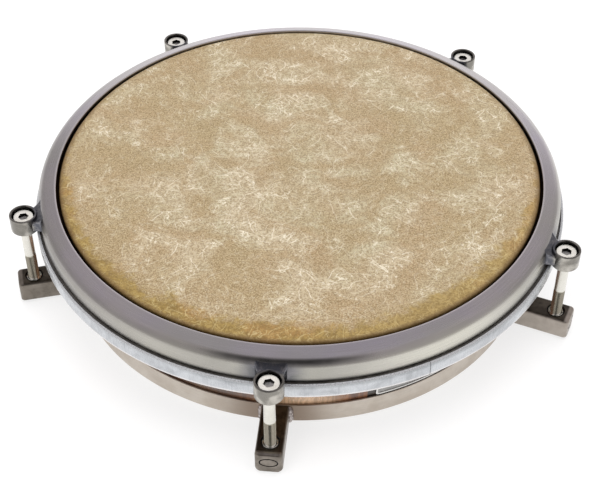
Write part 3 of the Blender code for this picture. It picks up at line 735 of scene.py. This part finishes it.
def film_material():
    """Mottled film: tan with pale stringy clouds and crossing fibres, ochre painted shade where it lies on
    the shell.
    """
    paint = Paint("head_fibre_film")
    x, y, z = paint.axes
    warped = paint.drifted(paint.place, 30, 0.014)
    torn = paint.drifted(warped, 130, 0.005)

    slow = paint.noise(12, 3, 0.55)
    hue = paint.noise(24, 3, 0.5, 0.3)
    clouds = paint.noise(27, 7, 0.63, 0.5, torn)
    flecks = paint.noise(150, 6, 0.74, 0.3, torn)
    grain = paint.noise(800, 2, 0.65)
    speck = paint.noise(1150, 1, 0.5)
    cover = paint.range(clouds, 0.42, 0.62)

    crease = paint.creases(warped, ((30, 0.009), (52, 0.013), (88, 0.019)), 5)
    fine = paint.strands(warped, ((250, 0.055), (330, 0.06), (190, 0.045)), 11)
    long = paint.strands(warped, ((62, 0.024), (84, 0.03), (48, 0.018), (118, 0.038)), 3)
    fleck_share = paint.times(paint.range(flecks, 0.5, 0.68), cover)
    skin = paint.layers(
        (0.3, 0.228, 0.118),
        ((0.326, 0.232, 0.126), hue, 0.36, 0.66),
        ((0.305, 0.215, 0.116), slow, 0.38, 0.66, 0, 0.6),
        (paint.over((0.43, 0.4, 0.28), (0.474, 0.408, 0.292), hue, 0.4, 0.6), clouds, 0.41, 0.61, 0, 0.86),
        ((0.59, 0.53, 0.4), paint.line(fleck_share, 0.48, 0.02)),
        ((0.235, 0.162, 0.078), flecks, 0.34, 0.5, 0.44, 0),
        ((0.32, 0.222, 0.112), paint.radius, 0.05, 0.145, 0, 0.34),
        ((0.195, 0.134, 0.062), grain, 0.44, 0.54, 0.68, 0),
        ((0.54, 0.45, 0.28), speck, 0.51, 0.6, 0, 0.52),
        ((0.72, 0.665, 0.53), paint.times(crease, paint.line(cover, 0.62, 0.26))),
        ((0.7, 0.615, 0.45), paint.times(fine, paint.line(cover, 0.28, 0.12))),
        ((0.83, 0.765, 0.62), paint.times(long, paint.line(cover, 0.5, 0.22))),
    )

    # Painted shade where the film lies on the shell: the ochre band's mask, strongest in front.
    wander = paint.line(clouds, 0.04, paint.times(flecks, 0.022))
    edge_place = paint.math("ADD", paint.radius, paint.math("SUBTRACT", wander, 0.031))
    inner = paint.range(y, -0.14, 0.07, 0.1325, 0.1465)
    edge = paint.range(edge_place, inner, paint.math("ADD", inner, 0.009))
    front = paint.range(y, -0.02, 0.15, 0.92, 0.14)
    threads = paint.highest((long, crease, paint.times(fine, 0.8)))
    # Painted shade: the ochre band where the film lies on the shell.
    ochre = paint.layers(
        (0.18, 0.112, 0.023),
        ((0.305, 0.208, 0.058), flecks, 0.36, 0.62),
        ((0.35, 0.16, 0.052), hue, 0.5, 0.6, 0, 0.3),
        ((0.4, 0.3, 0.14), x, 0.01, 0.08, 0, 0.26),
        ((0.15, 0.092, 0.022), grain, 0.42, 0.54, 0.5, 0),
        ((0.6, 0.49, 0.23), paint.times(threads, 0.45)),
    )
    shade = paint.range(paint.radius, FILM_OUTER - 0.0042, FILM_OUTER - 0.0006, 0, 0.8)
    coloured = paint.layers(
        skin,
        (ochre, paint.times(edge, front)),
        ((0.1, 0.056, 0.02), paint.times(shade, front)),
        # Painted shade: the collar below the shoulder is near black.
        ((0.02, 0.011, 0.006), z, FILM_TOP - 0.0034, FILM_TOP - 0.0018, 1, 0),
    )
    roughness = paint.range(flecks, 0.35, 0.7, 0.54, 0.44)
    height = paint.math("ADD", paint.times(long, 0.6), paint.math("ADD", fine, grain))
    normal = paint.bump(height, 0.1, 0.0002, Normal=paint.bump(clouds, 0.06, 0.001))
    return paint.shade(coloured, roughness, Normal=normal, Specular_IOR_Level=0.36)


def wood_material():
    """Lacquered wood with its grain upright: red-brown with orange-tan streaks, black round the plate."""
    paint = Paint("shell_lacquered_wood")
    x, y, z = paint.axes
    grain = paint.streaks((330, 330, 16), 5, 0.65, 0.5)
    pores = paint.streaks((1500, 1500, 60), 3, 0.6)
    front = paint.range(y, -0.12, -0.08, 1, 0)
    sunlit = paint.times(paint.range(x, -0.012, 0.008), paint.range(x, 0.026, 0.044, 0.76, 0), front)
    shaded = paint.times(paint.range(x, -0.1, -0.06), paint.range(x, -0.034, 0.002, 0.82, 0), front)
    turned = paint.math("SUBTRACT", paint.math("ARCTAN2", y, x), PLATE_AZIMUTH - pi / 2)
    from_plate = paint.times(paint.math("ABSOLUTE", turned), SHELL_OUTER)
    reach = PLATE_LENGTH / 2 + PLATE_SURROUND
    across = paint.range(from_plate, reach - 0.0002, reach + 0.0002, 0.94, 0)
    top = BAND_TOP + PLATE_RISE + PLATE_HEIGHT + 0.0012
    coloured = paint.layers(
        (0.09, 0.03, 0.014),
        ((0.33, 0.145, 0.068), grain, 0.32, 0.7),
        ((0.7, 0.42, 0.235), paint.streaks((26, 26, 6), 3, 0.6), 0.47, 0.64, 0, 0.6),
        ((0.055, 0.018, 0.009), pores, 0.56, 0.75, 0, 0.5),
        ((0.9, 0.62, 0.39), sunlit),
        ((0.05, 0.034, 0.024), shaded),
        ((0.15, 0.066, 0.034), paint.streaks((760, 760, 22), 4, 0.7), 0.4, 0.6, 0.42, 0),
        ((0.022, 0.019, 0.016), paint.times(across, paint.range(z, top, top + 0.0004, 1, 0))),
    )
    roughness = paint.range(grain, 0.3, 0.7, 0.36, 0.48)
    normal = paint.bump(pores, 0.12, 0.0002)
    return paint.shade(coloured, roughness, Normal=normal, Coat_Weight=0.7, Coat_Roughness=0.08)


def resin_material():
    """Dark set resin, slightly uneven."""
    paint = Paint("head_set_resin")
    flow = paint.noise(120, 4, 0.6, 0.5)
    base = paint.over((0.03, 0.027, 0.024), (0.075, 0.068, 0.06), flow, 0.3, 0.7)
    return paint.shade(base, paint.range(flow, 0.3, 0.7, 0.28, 0.45), Normal=paint.bump(flow, 0.3, 0.0006))


def plate_material(name, clean, worn):
    """Plated metal, finely stippled and clouded between two colours."""
    paint = Paint(name)
    stipple = paint.noise(1700, 3, 0.6)
    cloud = paint.noise(90, 4, 0.6)
    base = paint.over(clean, worn, cloud, 0.3, 0.7)
    speckled = paint.over(base, (0.22, 0.215, 0.205), stipple, 0.5, 0.72, 0, 0.4)
    return paint.metal(speckled, paint.range(cloud, 0.3, 0.7, 0.18, 0.3), paint.bump(stipple, 0.15, 0.0001))


def floor_material():
    """A pale, dull floor."""
    paint = Paint("pale_floor")
    cloud = paint.noise(3, 3, 0.5)
    base = paint.mix(cloud, (0.28, 0.28, 0.28), (0.3, 0.3, 0.298))
    glow = paint.mix(cloud, (0.99, 0.99, 0.99), (1, 1, 1))
    return paint.shade(base, 0.85, Specular_IOR_Level=0.2, Emission_Color=glow, Emission_Strength=FLOOR_GLOW)


# Rings


def hoop_line(offset):
    """The counterhoop's outer face moved outwards by an offset: slope, rolled shoulder and wall."""
    bend_r = HOOP_OUTER - HOOP_SHOULDER
    slope_end = bend_r + HOOP_SHOULDER * sin(HOOP_SLOPE)
    bend_z = HOOP_TOP - (slope_end - HOOP_INNER) * tan(HOOP_SLOPE) - HOOP_SHOULDER * cos(HOOP_SLOPE)
    start = (HOOP_INNER + offset * sin(HOOP_SLOPE), HOOP_TOP + offset * cos(HOOP_SLOPE))
    bend = arc(bend_r, bend_z, HOOP_SHOULDER + offset, pi / 2 - HOOP_SLOPE, 0, 14)
    return [start] + bend + [(HOOP_OUTER + offset, HOOP_BOTTOM)]


def make_counter_hoop(material):
    """The rolled counterhoop, with a rounded inner rim and a rounded lower edge."""
    inside = hoop_line(-HOOP_SHEET)[::-1]
    rim, ease = HOOP_RIM_ROUND, HOOP_FOOT_ROUND
    section = arc(HOOP_INNER + rim, HOOP_TOP - rim * 1.25, rim, pi, pi / 2 - HOOP_SLOPE, 6)
    section += hoop_line(0)[1:-1]
    section += arc(HOOP_OUTER - ease, HOOP_BOTTOM + ease, ease, 0, -pi / 2, 5)
    section += arc(HOOP_OUTER - HOOP_SHEET + ease, HOOP_BOTTOM + ease, ease, -pi / 2, -pi, 5)
    section += inside[1:-1] + [(HOOP_INNER, inside[-1][1])]
    finish("counter_hoop_shell", ring_mesh(section), material, "hoop", "hoop_steel", "counter_hoop")


def make_flesh_hoop(material):
    """The channel of the flesh hoop, bent from one strip: its ends meet at an open seam."""
    floor = FLESH_BOTTOM + FLESH_WALL
    inner, outer = FLESH_INNER + FLESH_WALL, FLESH_OUTER - FLESH_WALL
    corners = [(FLESH_OUTER, FLESH_TOP, FLESH_EDGE_ROUND), (FLESH_OUTER, FLESH_BOTTOM, FLESH_ROUND)]
    corners += [(FLESH_INNER, FLESH_BOTTOM, FLESH_ROUND), (FLESH_INNER, FLESH_TOP, 0.0005)]
    corners += [(inner, FLESH_TOP, 0.0005), (inner, floor, 0.0004), (outer, floor, 0.0004)]
    section = rounded(corners + [(outer, FLESH_TOP, 0.0002)])
    gap = FLESH_SEAM_GAP / FLESH_OUTER
    mesh = grid_mesh(ring_rows(section, -pi / 2 + FLESH_SEAM_AZIMUTH + gap / 2, 2 * pi - gap))
    shape = bmesh.new()
    shape.from_mesh(mesh)
    bmesh.ops.holes_fill(shape, edges=[edge for edge in shape.edges if edge.is_boundary])
    bmesh.ops.recalc_face_normals(shape, faces=shape.faces)
    shape.to_mesh(mesh)
    shape.free()
    finish("flesh_hoop_channel", mesh, material, "head", "aluminium", "flesh_hoop")


def make_resin(material):
    """The resin bead, slightly domed, in the channel on both sides of the film's skirt."""
    slot = SKIRT_OUTER - FILM_THICKNESS / 2
    half = FILM_THICKNESS / 2 + 0.0001
    inner = FLESH_INNER + FLESH_WALL + 0.0002
    edge = RESIN_TOP - 0.0006
    mouth = RESIN_TOP - 0.0004
    deep = SKIRT_BOTTOM - 0.0003
    section = [(slot + half, mouth), ((slot + RESIN_OUTER) / 2, RESIN_TOP), (RESIN_OUTER, edge)]
    section += [(RESIN_OUTER, RESIN_BOTTOM), (inner, RESIN_BOTTOM), (inner, edge)]
    section += [((slot + inner) / 2, RESIN_TOP), (slot - half, mouth)]
    section += [(slot - half, deep), (slot + half, deep)]
    finish("head_resin_bead", ring_mesh(section), material, "head", "resin", "head_resin")


def film_line(offset):
    """The film's face moved inwards by an offset: bearing shoulder, collar and skirt."""
    bend_z = FILM_TOP - FILM_SHOULDER
    shoulder = arc(FILM_OUTER - FILM_SHOULDER, bend_z, FILM_SHOULDER - offset, pi / 2, 0, 10)
    collar = (FILM_OUTER - offset, bend_z - COLLAR_DROP - offset / 2)
    skirt = SKIRT_OUTER - offset
    return shoulder + [collar, (skirt, FLESH_TOP + FILM_THICKNESS - offset / 2), (skirt, SKIRT_BOTTOM)]


def make_film(material):
    """The drum head's film in one piece, pulled over the shell a little to the back of the skirt."""
    columns = list(zip(*ring_rows(film_line(0) + film_line(FILM_THICKNESS)[::-1])))
    mesh = grid_mesh(columns, caps=((0, AXIS_Y, FILM_TOP), (0, AXIS_Y, FILM_TOP - FILM_THICKNESS)))
    for vertex in mesh.vertices:
        pulled = (vertex.co.z - FLESH_TOP - FILM_THICKNESS) / (FILM_TOP - FILM_SHOULDER - FLESH_TOP)
        vertex.co.y += FILM_OFFSET * min(1, max(0, pulled))
    finish("drum_head_film", mesh, material, "head", "film", "drum_head")


def shell_outer(height):
    """The shell's outer radius at a height."""
    share = (height - BAND_TOP) / (SHELL_TOP - SHELL_STRAIGHT - BAND_TOP)
    return SHELL_FOOT + (SHELL_OUTER - SHELL_FOOT) * min(1, max(0, share))


def make_shell(material):
    """The wooden shell, its bearing edge rounded over outside and cut back inside."""
    taper_top = SHELL_TOP - SHELL_STRAIGHT
    crown = SHELL_TOP - SHELL_EDGE
    bore = SHELL_OUTER - SHELL_WALL
    foot_bore = SHELL_FOOT - SHELL_WALL
    section = arc(SHELL_OUTER - SHELL_EDGE, crown, SHELL_EDGE, pi / 2, 0, 10)
    section += [(SHELL_OUTER, taper_top), (SHELL_FOOT, BAND_TOP), (SHELL_FOOT, SHELL_BOTTOM)]
    section += [(foot_bore, SHELL_BOTTOM), (foot_bore, BAND_TOP), (bore, taper_top), (bore, crown)]
    finish("wood_shell_body", ring_mesh(section), material, "chassis", "wood", "wood_shell")


def make_band(material):
    """The chassis ring: the rolled band, with its ledge turned inwards."""
    bore = BAND_OUTER - BAND_WALL
    lip = bore - LEDGE_WIDTH
    ledge = BAND_BOTTOM + LEDGE_THICKNESS
    corners = [(bore, BAND_TOP, 0.0004), (BAND_OUTER, BAND_TOP, 0.0006), (BAND_OUTER, BAND_BOTTOM, 0.0006)]
    corners += [(lip, BAND_BOTTOM, 0.0005), (lip, ledge, 0.0005), (bore, ledge, 0.0002)]
    mesh = ring_mesh(rounded(corners))
    finish("chassis_ring_band", mesh, material, "chassis", "band_steel", "chassis_ring")


def plate_part(depth_low, depth_high, inset):
    """The part of a sleeve round the shell, between two depths, that lies in the plate's outline."""
    low = BAND_TOP + PLATE_RISE
    high = low + PLATE_HEIGHT
    above, below = high + 0.002, low - 0.0006
    sleeve = [(shell_outer(above) + depth, above) for depth in (depth_low, depth_high)]
    sleeve += [(shell_outer(below) + depth, below) for depth in (depth_high, depth_low)]
    corner = PLATE_CORNER - inset / 2
    half_length = PLATE_LENGTH / 2 - inset
    half_height = PLATE_HEIGHT / 2 - inset
    outline = rounded_box(-half_length, half_length, -half_height, half_height, corner, corner, 8)
    near, far = SHELL_OUTER * 0.8, SHELL_OUTER * 1.2
    middle = (low + high) / 2
    rows = [[(x, -reach, middle + z) for x, z in outline] for reach in (near, far)]
    stamp = grid_mesh(rows, caps=((0, -near, middle), (0, -far, middle)))
    stamp.transform(Matrix.Translation((0, AXIS_Y, 0)) @ Matrix.Rotation(PLATE_AZIMUTH, 4, "Z"))
    return combined(ring_mesh(sleeve, CUTTER_STEPS), ("INTERSECT", stamp))


def make_plate(material, field_material):
    """The bare plate: a thin curved sheet with a raised rim round its sunk field."""
    outer = PLATE_SEAT + PLATE_THICKNESS
    sunk = outer - PLATE_SINK
    field = plate_part(sunk, outer + 0.001, PLATE_RIM)
    mesh = combined(plate_part(PLATE_SEAT, outer, 0), ("DIFFERENCE", field))
    axis = Vector((0, AXIS_Y))

    def in_field(at):
        """On the sunk field's own face."""
        return abs((at.xy - axis).length - shell_outer(at.z) - sunk) < PLATE_SINK / 4

    two_materials(mesh, material, field_material, in_field)
    finish("shell_plate_sheet", mesh, material, "chassis", "plate_metal", "shell_plate")


# Stations


def arm_section(x, inset):
    """The bar's section at x, drawn in by an inset."""
    half = ARM_WIDTH / 2 - inset
    foot, top = ARM_LIP_DROP + inset * 0.3, ARM_TOP - inset * 0.6
    foot_round, top_round = max(ARM_FOOT_ROUND - inset / 2, 0.0008), max(ARM_TOP_ROUND - inset / 2, 0.0006)
    return [(x, y, z) for y, z in rounded_box(-half, half, foot, top, foot_round, top_round, 6)]


def arm_bar():
    """A lug arm's bar, its end face rounded off into its sides."""
    start = BAND_OUTER - BAND_WALL
    middle = (ARM_TOP + ARM_LIP_DROP) / 2
    rows = [arm_section(start, 0)]
    for step in range(7):
        angle = pi / 2 * step / 6
        x = ARM_REACH - ARM_END_ROUND * (1 - sin(angle))
        rows.append(arm_section(x, ARM_END_ROUND * (1 - cos(angle))))
    return grid_mesh(rows, caps=((start, 0, middle), (ARM_REACH, 0, middle)))


def arm_lip():
    """The low lip under the arm's end, its edges eased."""
    half = ARM_WIDTH / 2 - ARM_FOOT_ROUND + 0.0004
    outer = ARM_REACH - 0.0009
    inner = outer - ARM_LIP_LENGTH
    rows = []
    for z, inset in ((ARM_LIP_DROP + ARM_FLOOR, 0), (0.0005, 0), (0, 0.0005)):
        outline = rounded_box(inner + inset, outer - inset, inset - half, half - inset, 0.0008, 0.0008)
        rows.append([(x, y, z) for x, y in outline])
    middle = (outer + inner) / 2
    return grid_mesh(rows, caps=((middle, 0, rows[0][0][2]), (middle, 0, 0)))


def arm_bore():
    """What is bored from the arm: the bush's hole and the wider recess round its mouth."""
    high, step, low = ARM_TOP + 0.003, ARM_TOP - ARM_RECESS_DEPTH, ARM_LIP_DROP + ARM_FLOOR
    hole = BUSH_RADIUS + 0.0002
    rows = [(0, high), (ARM_RECESS + 0.0033, high), (ARM_RECESS, ARM_TOP - 0.0003)]
    rows += [(ARM_RECESS, step), (hole, step), (hole, low), (0, low)]
    return moved(spun_mesh(rows, CUP_STEPS), AT_BOLT)


def oval_ring():
    """What is sunk in the arm's end: an oval groove round a bare island."""
    proud, deep = ARM_REACH + 0.001, ARM_REACH - OVAL_DEPTH
    rows = []
    for x, size in ((proud, 0), (deep, 0), (deep, OVAL_ISLAND), (proud, OVAL_ISLAND)):
        row = []
        for step in range(OVAL_STEPS):
            angle = 2 * pi * step / OVAL_STEPS
            y = (OVAL_LENGTH / 2 - size) * cos(angle)
            row.append((x, y, OVAL_HEIGHT_AT + (OVAL_HEIGHT / 2 - size) * sin(angle)))
        rows.append(row)
    return grid_mesh(rows, loop=True)


def band_space():
    """The space inside the face that the arms are welded to."""
    reach = BAND_OUTER - WELD_DEPTH
    return ring_mesh([(0.05, 0.03), (reach, 0.03), (reach, -0.01), (0.05, -0.01)], CUTTER_STEPS, 0)


def make_arms(material, dark):
    """The five lug arms, painted dark as shade in the recess round the bush and in the oval's groove."""
    cutters = (arm_bore(), oval_ring(), band_space())
    master = combined(arm_bar(), ("UNION", arm_lip()), *(("DIFFERENCE", cutter) for cutter in cutters))

    def in_painted_shade(at):
        """In the recess round the bush, or in the groove of the oval."""
        if from_bolt(at) < ARM_RECESS + SLACK:
            return at.z < ARM_TOP - 0.0002
        across, up = at.y / OVAL_LENGTH * 2, (at.z - OVAL_HEIGHT_AT) / OVAL_HEIGHT * 2
        return ARM_REACH - 0.001 < at.x < ARM_REACH - 0.0001 and across ** 2 + up ** 2 < 1.05

    two_materials(master, material, dark, in_painted_shade)
    finish_stations(master, "lug_arm_bar", material, "chassis", "arm_steel", "lug_arm")


def bead_mesh(top, bottom, radius, draw):
    """A weld bead between two points: overlapping rounded ripples with an uneven skin."""
    ripples = draw.uniform(*WELD_RIPPLES)
    phase = draw.uniform(0, 2 * pi)
    offset = Vector((draw.uniform(0, 50), draw.uniform(0, 50), draw.uniform(0, 50)))
    along = (bottom - top).normalized()
    side = along.orthogonal().normalized()
    other = along.cross(side)
    rows = []
    for step in range(1, BEAD_STEPS):
        share = step / BEAD_STEPS
        centre = top.lerp(bottom, share)
        end = min(1, 4 * share, 4 * (1 - share)) ** 0.5
        wave = 0.9 + 0.14 * abs(sin(ripples * pi * share + phase))
        row = []
        for index in range(BEAD_SIDES):
            angle = 2 * pi * index / BEAD_SIDES
            spoke = side * cos(angle) + other * sin(angle)
            lump = noise.noise((centre + spoke * radius) * WELD_LUMPS + offset)
            row.append(centre + spoke * radius * end * (wave + 0.42 * lump))
        rows.append(row)
    return grid_mesh(rows, caps=(top, bottom))


def make_welds(material):
    """The two upright weld beads that hold each arm on the band."""
    draw = Random(41)
    for index in range(STATIONS):
        for side, word in ((-1, "a"), (1, "b")):
            y = side * (ARM_WIDTH / 2 + 0.0002)
            bottom = Vector((BAND_OUTER + 0.0004, y, BAND_BOTTOM - draw.uniform(-0.0004, 0.0008)))
            top = Vector((BAND_OUTER, y, BAND_TOP - draw.uniform(0.0004, 0.0012)))
            bead = bead_mesh(top, bottom, draw.uniform(*WELD_RADII), draw)
            bead.transform(station_matrix(index))
            name = f"arm_weld_{index + 1}_{word}"
            finish(name, bead, material, "chassis", "arm_steel", edge_angle=radians(75))


def make_bushes(material, dark):
    """The threaded bushes, each with a countersunk mouth and a bore painted dark as shade."""
    top, bottom = BUSH_HIGH.z, BUSH_LOW.z
    mouth = top - BUSH_MOUTH
    rows = [(BUSH_RADIUS - BUSH_EASE, top), (BUSH_RADIUS, top - BUSH_EASE)]
    rows += [(BUSH_RADIUS, bottom), (BUSH_BORE, bottom)]
    count = ceil((top - bottom) / THREAD_PITCH * ROWS_PER_PITCH)
    for step in range(1, count):
        z = bottom + (mouth - bottom) * step / count
        rows.append((threaded(BUSH_BORE + THREAD_DEPTH / 2, z), z))
    rows.append((BUSH_BORE, mouth))
    master = sleeve_mesh(rows, BOLT_STEPS)
    two_materials(master, material, dark, lambda at: at.xy.length < BUSH_BORE + SLACK)
    finish_stations(master, "lug_bush_sleeve", material, "chassis", "bolt_steel", "lug_bush", AT_BOLT)


def threaded(radius, z, depth=THREAD_DEPTH):
    """A radius that follows a right-hand thread at a height, as a function of the angle."""

    def at(angle):
        phase = (z / THREAD_PITCH - angle / (2 * pi)) % 1
        valley = 1 - abs(2 * phase - 1)
        return radius - depth * min(1, max(0, 1.25 * valley - 0.12))

    return at


def hexagon(flats):
    """The radius of a hexagon of a width across flats, as a function of the angle."""

    def at(angle):
        folded = (angle + pi / 6) % (pi / 3) - pi / 6
        return flats / 2 / cos(folded)

    return at


def bolt_rows():
    """A socket-head bolt from the bottom of its socket, over the head and down the thread."""
    top, tip = BOLT_HIGH.z, BOLT_LOW.z
    seat = top - HEAD_HEIGHT
    floor = top - SOCKET_DEPTH
    head = HEAD_RADIUS - HEAD_EASE
    socket = hexagon(SOCKET_FLATS)
    rows = [(0, floor - 0.0008), (SOCKET_FLATS * 0.42, floor), (socket, floor), (socket, top - 0.0003)]
    rows += [(SOCKET_CORNER + 0.0003, top), (head - HEAD_CHAMFER, top)]
    rows += [(head - HEAD_CHAMFER * 0.3, top - HEAD_CHAMFER * 0.3), (head, top - HEAD_CHAMFER)]
    rows += [(head, seat + 0.0003), (head - 0.0003, seat), (SHANK_RADIUS + 0.0004, seat)]
    thread_top = seat - PLAIN_LENGTH
    rows += [(SHANK_RADIUS, seat - 0.0004), (SHANK_RADIUS, thread_top + 0.0001)]
    thread_end = tip + TIP_CHAMFER
    count = ceil((thread_top - thread_end) / THREAD_PITCH * ROWS_PER_PITCH)
    for step in range(count + 1):
        z = thread_top + (thread_end - thread_top) * step / count
        run_out = min(1, step / ROWS_PER_PITCH / 1.5)
        rows.append((threaded(THREAD_RADIUS, z, THREAD_DEPTH * run_out), z))
    return rows + [(THREAD_RADIUS - THREAD_DEPTH - TIP_CHAMFER / 2, tip), (0, tip)]


def make_bolts(material, bottom, dark):
    """The five tension bolts, their sockets with a dull bottom and walls painted dark as shade, and their
    washers.
    """
    master = spun_mesh(bolt_rows(), BOLT_STEPS)
    reach = SOCKET_CORNER + SLACK
    rim = BOLT_HIGH.z - 0.0004
    floor = rim - SOCKET_DEPTH * 1.4
    two_materials(master, material, bottom, lambda at: at.xy.length < reach and floor < at.z < rim)
    master.materials.append(dark)
    for face in master.polygons:
        if face.material_index == 1 and abs(face.normal.z) < 0.5:
            face.material_index = 2
    bore, edge = SHANK_HOLE, WASHER_RADIUS - WASHER_EASE
    low, high = WASHER_LOW.z, WASHER_HIGH.z
    rows = [(bore, high), (edge, high), (WASHER_RADIUS, high - WASHER_EASE)]
    washer = sleeve_mesh(rows + [(WASHER_RADIUS, low + WASHER_EASE), (edge, low), (bore, low)], CUP_STEPS)
    draw = Random(7)
    for index in range(STATIONS):
        number = index + 1
        body = f"bolt_{number}"
        place = station_matrix(index) @ AT_BOLT
        bolt = moved(master, place @ Matrix.Rotation(draw.uniform(0, pi / 3), 4, "Z"))
        finish(f"tension_bolt_body_{number}", bolt, material, body, "bolt_steel", f"tension_bolt_{number}")
        ring = moved(washer, place)
        finish(f"bolt_washer_ring_{number}", ring, material, body, "bolt_steel", f"bolt_washer_{number}")


def ear_web():
    """The web between hoop and cup: it flares in a curve towards the hoop."""
    start = HOOP_OUTER - HOOP_SHOULDER
    end = BOLT_CIRCLE - 0.0035
    foot = HOOP_BOTTOM + WEB_FOOT
    rows = []
    for step in range(WEB_STEPS + 1):
        x = start + (end - start) * step / WEB_STEPS
        away = min(1, (end - x) / (end - WEB_REACH))
        half = WEB_CUP_HALF_WIDTH + WEB_FLARE * away ** 2.2
        top = WEB_CUP_TOP + WEB_RISE * away ** 1.5
        rows.append([(x, y, z) for y, z in rounded_box(-half, half, foot, top, WEB_CORNER, WEB_CORNER)])
    middle = (WEB_CUP_TOP + HOOP_BOTTOM) / 2
    return grid_mesh(rows, caps=((start, 0, middle), (end, 0, middle)))


def make_ears(material, dark):
    """The five hoop ears: a bored cup on a flared web that is welded to the hoop."""
    bottom = HOOP_BOTTOM
    edge = CUP_RADIUS - CUP_ROUND
    cup_rows = [(0, CUP_TOP)] + arc(edge, CUP_TOP - CUP_ROUND, CUP_ROUND, pi / 2, 0, 4)
    cup_rows += arc(edge, bottom + CUP_ROUND, CUP_ROUND, 0, -pi / 2, 4) + [(0, bottom)]
    high, floor, low = CUP_TOP + 0.002, bottom + CUP_FLOOR, bottom - 0.002
    bore_rows = [(0, high), (CUP_BORE + CUP_LIP + 0.002, high), (CUP_BORE, CUP_TOP - CUP_LIP)]
    bore_rows += [(CUP_BORE, floor), (SHANK_HOLE, floor), (SHANK_HOLE, low), (0, low)]
    half_facet = Matrix.Rotation(pi / CUP_STEPS, 4, "Z")
    cup = moved(spun_mesh(cup_rows, CUP_STEPS), AT_BOLT)
    bore = moved(spun_mesh(bore_rows, CUP_STEPS), AT_BOLT @ half_facet)
    line = hoop_line(-WELD_DEPTH)
    under = bottom - 0.004
    line = [(0.05, line[0][1])] + line[:-1] + [(line[-1][0], under), (0.05, under)]
    cuts = [("DIFFERENCE", cutter) for cutter in (bore, ring_mesh(line, CUTTER_STEPS, 0))]
    master = combined(cup, ("UNION", ear_web()), *cuts)
    lip = CUP_TOP - CUP_LIP
    # The cup's bore below its lip is painted dark as shade.
    two_materials(master, material, dark, lambda at: from_bolt(at) < CUP_BORE + SLACK and at.z < lip)
    finish_stations(master, "hoop_ear_cup", material, "hoop", "arm_steel", "hoop_ear")


# Stage


def make_floor():
    """A wide pale floor under the drum."""
    mesh = grid_mesh([[(-4, -4, 0), (4, -4, 0)], [(-4, 4, 0), (4, 4, 0)]], closed_rows=False)
    mesh.materials.append(floor_material())
    link("floor", mesh)


def aimed(name, data, place, target):
    """A camera or light at a place, turned towards a target."""
    obj = link(name, data)
    obj.location = place
    obj.rotation_euler = (Vector(target) - Vector(place)).to_track_quat("-Z", "Y").to_euler()
    return obj


def make_camera():
    """The camera at the photograph's angle."""
    data = bpy.data.cameras.new("photo_camera")
    data.lens = CAMERA_LENS
    data.sensor_width = 36
    data.clip_start = 0.01
    bpy.context.scene.camera = aimed("photo_camera", data, CAMERA_PLACE, CAMERA_TARGET)


def make_softbox(name, place, size, energy):
    """A square softbox that lights the drum without showing in the metal."""
    data = bpy.data.lights.new(name, "AREA")
    data.shape = "SQUARE"
    data.size = size
    data.energy = energy
    aimed(name, data, place, (0, 0, 0)).visible_glossy = False


def make_world():
    """Studio surroundings: white low down behind, grey at the sides and overhead, a dark gap in front."""
    world = bpy.data.worlds.new("studio")
    world.use_nodes = True
    sky = Nodes(world.node_tree)
    direction = sky.add("TexCoord", ())["Generated"]
    _, back, up = sky.add("SeparateXYZ", (direction,))
    behind = sky.over(sky.ramp(up, SIDE_STOPS), sky.ramp(up, SKY_STOPS), back, *BACKDROP)
    towards = (direction, DARK_GAP_DIRECTION.normalized())
    facing = sky.add("VectorMath", towards, operation="DOT_PRODUCT")["Value"]
    colour = sky.over(behind, DARK_GAP_COLOUR, facing, *DARK_GAP)
    sky.feed(sky.tree.nodes["Background"].inputs["Color"], colour)
    bpy.context.scene.world = world


def make_lights():
    """Soft studio light from above and in front."""
    make_world()
    make_softbox("top_softbox", (0, 0.25, 1.7), 1.8, 30)
    make_softbox("front_softbox", (-0.9, -1.5, 1.2), 1.2, 12)
    bpy.context.scene.view_settings.view_transform = "Standard"


def make_pieces():
    """Every shown piece of the drum."""
    bolt_metal = bolt_material()
    make_counter_hoop(hoop_material())
    make_flesh_hoop(aluminium_material())
    make_resin(resin_material())
    make_film(film_material())
    make_shell(wood_material())
    make_band(band_material())
    make_plate(
        plate_material("plate_polished_rim", (0.86, 0.85, 0.83), (0.74, 0.73, 0.71)),
        plate_material("plate_dull_field", (0.3, 0.3, 0.295), (0.4, 0.39, 0.38)),
    )
    # Near-black steel as painted shade inside bores, recesses, sockets and the arms' oval groove.
    dark = recess_material("painted_shade_steel", (0.012, 0.012, 0.013), (0.055, 0.052, 0.05))
    make_arms(arm_material(), dark)
    make_welds(weld_material())
    make_bushes(bolt_metal, dark)
    socket_metal = recess_material("socket_dull_steel", (0.46, 0.45, 0.43), (0.88, 0.87, 0.83))
    make_bolts(bolt_metal, socket_metal, dark)
    make_ears(ear_material(), dark)


make_camera()
make_pieces()
make_floor()
make_lights()
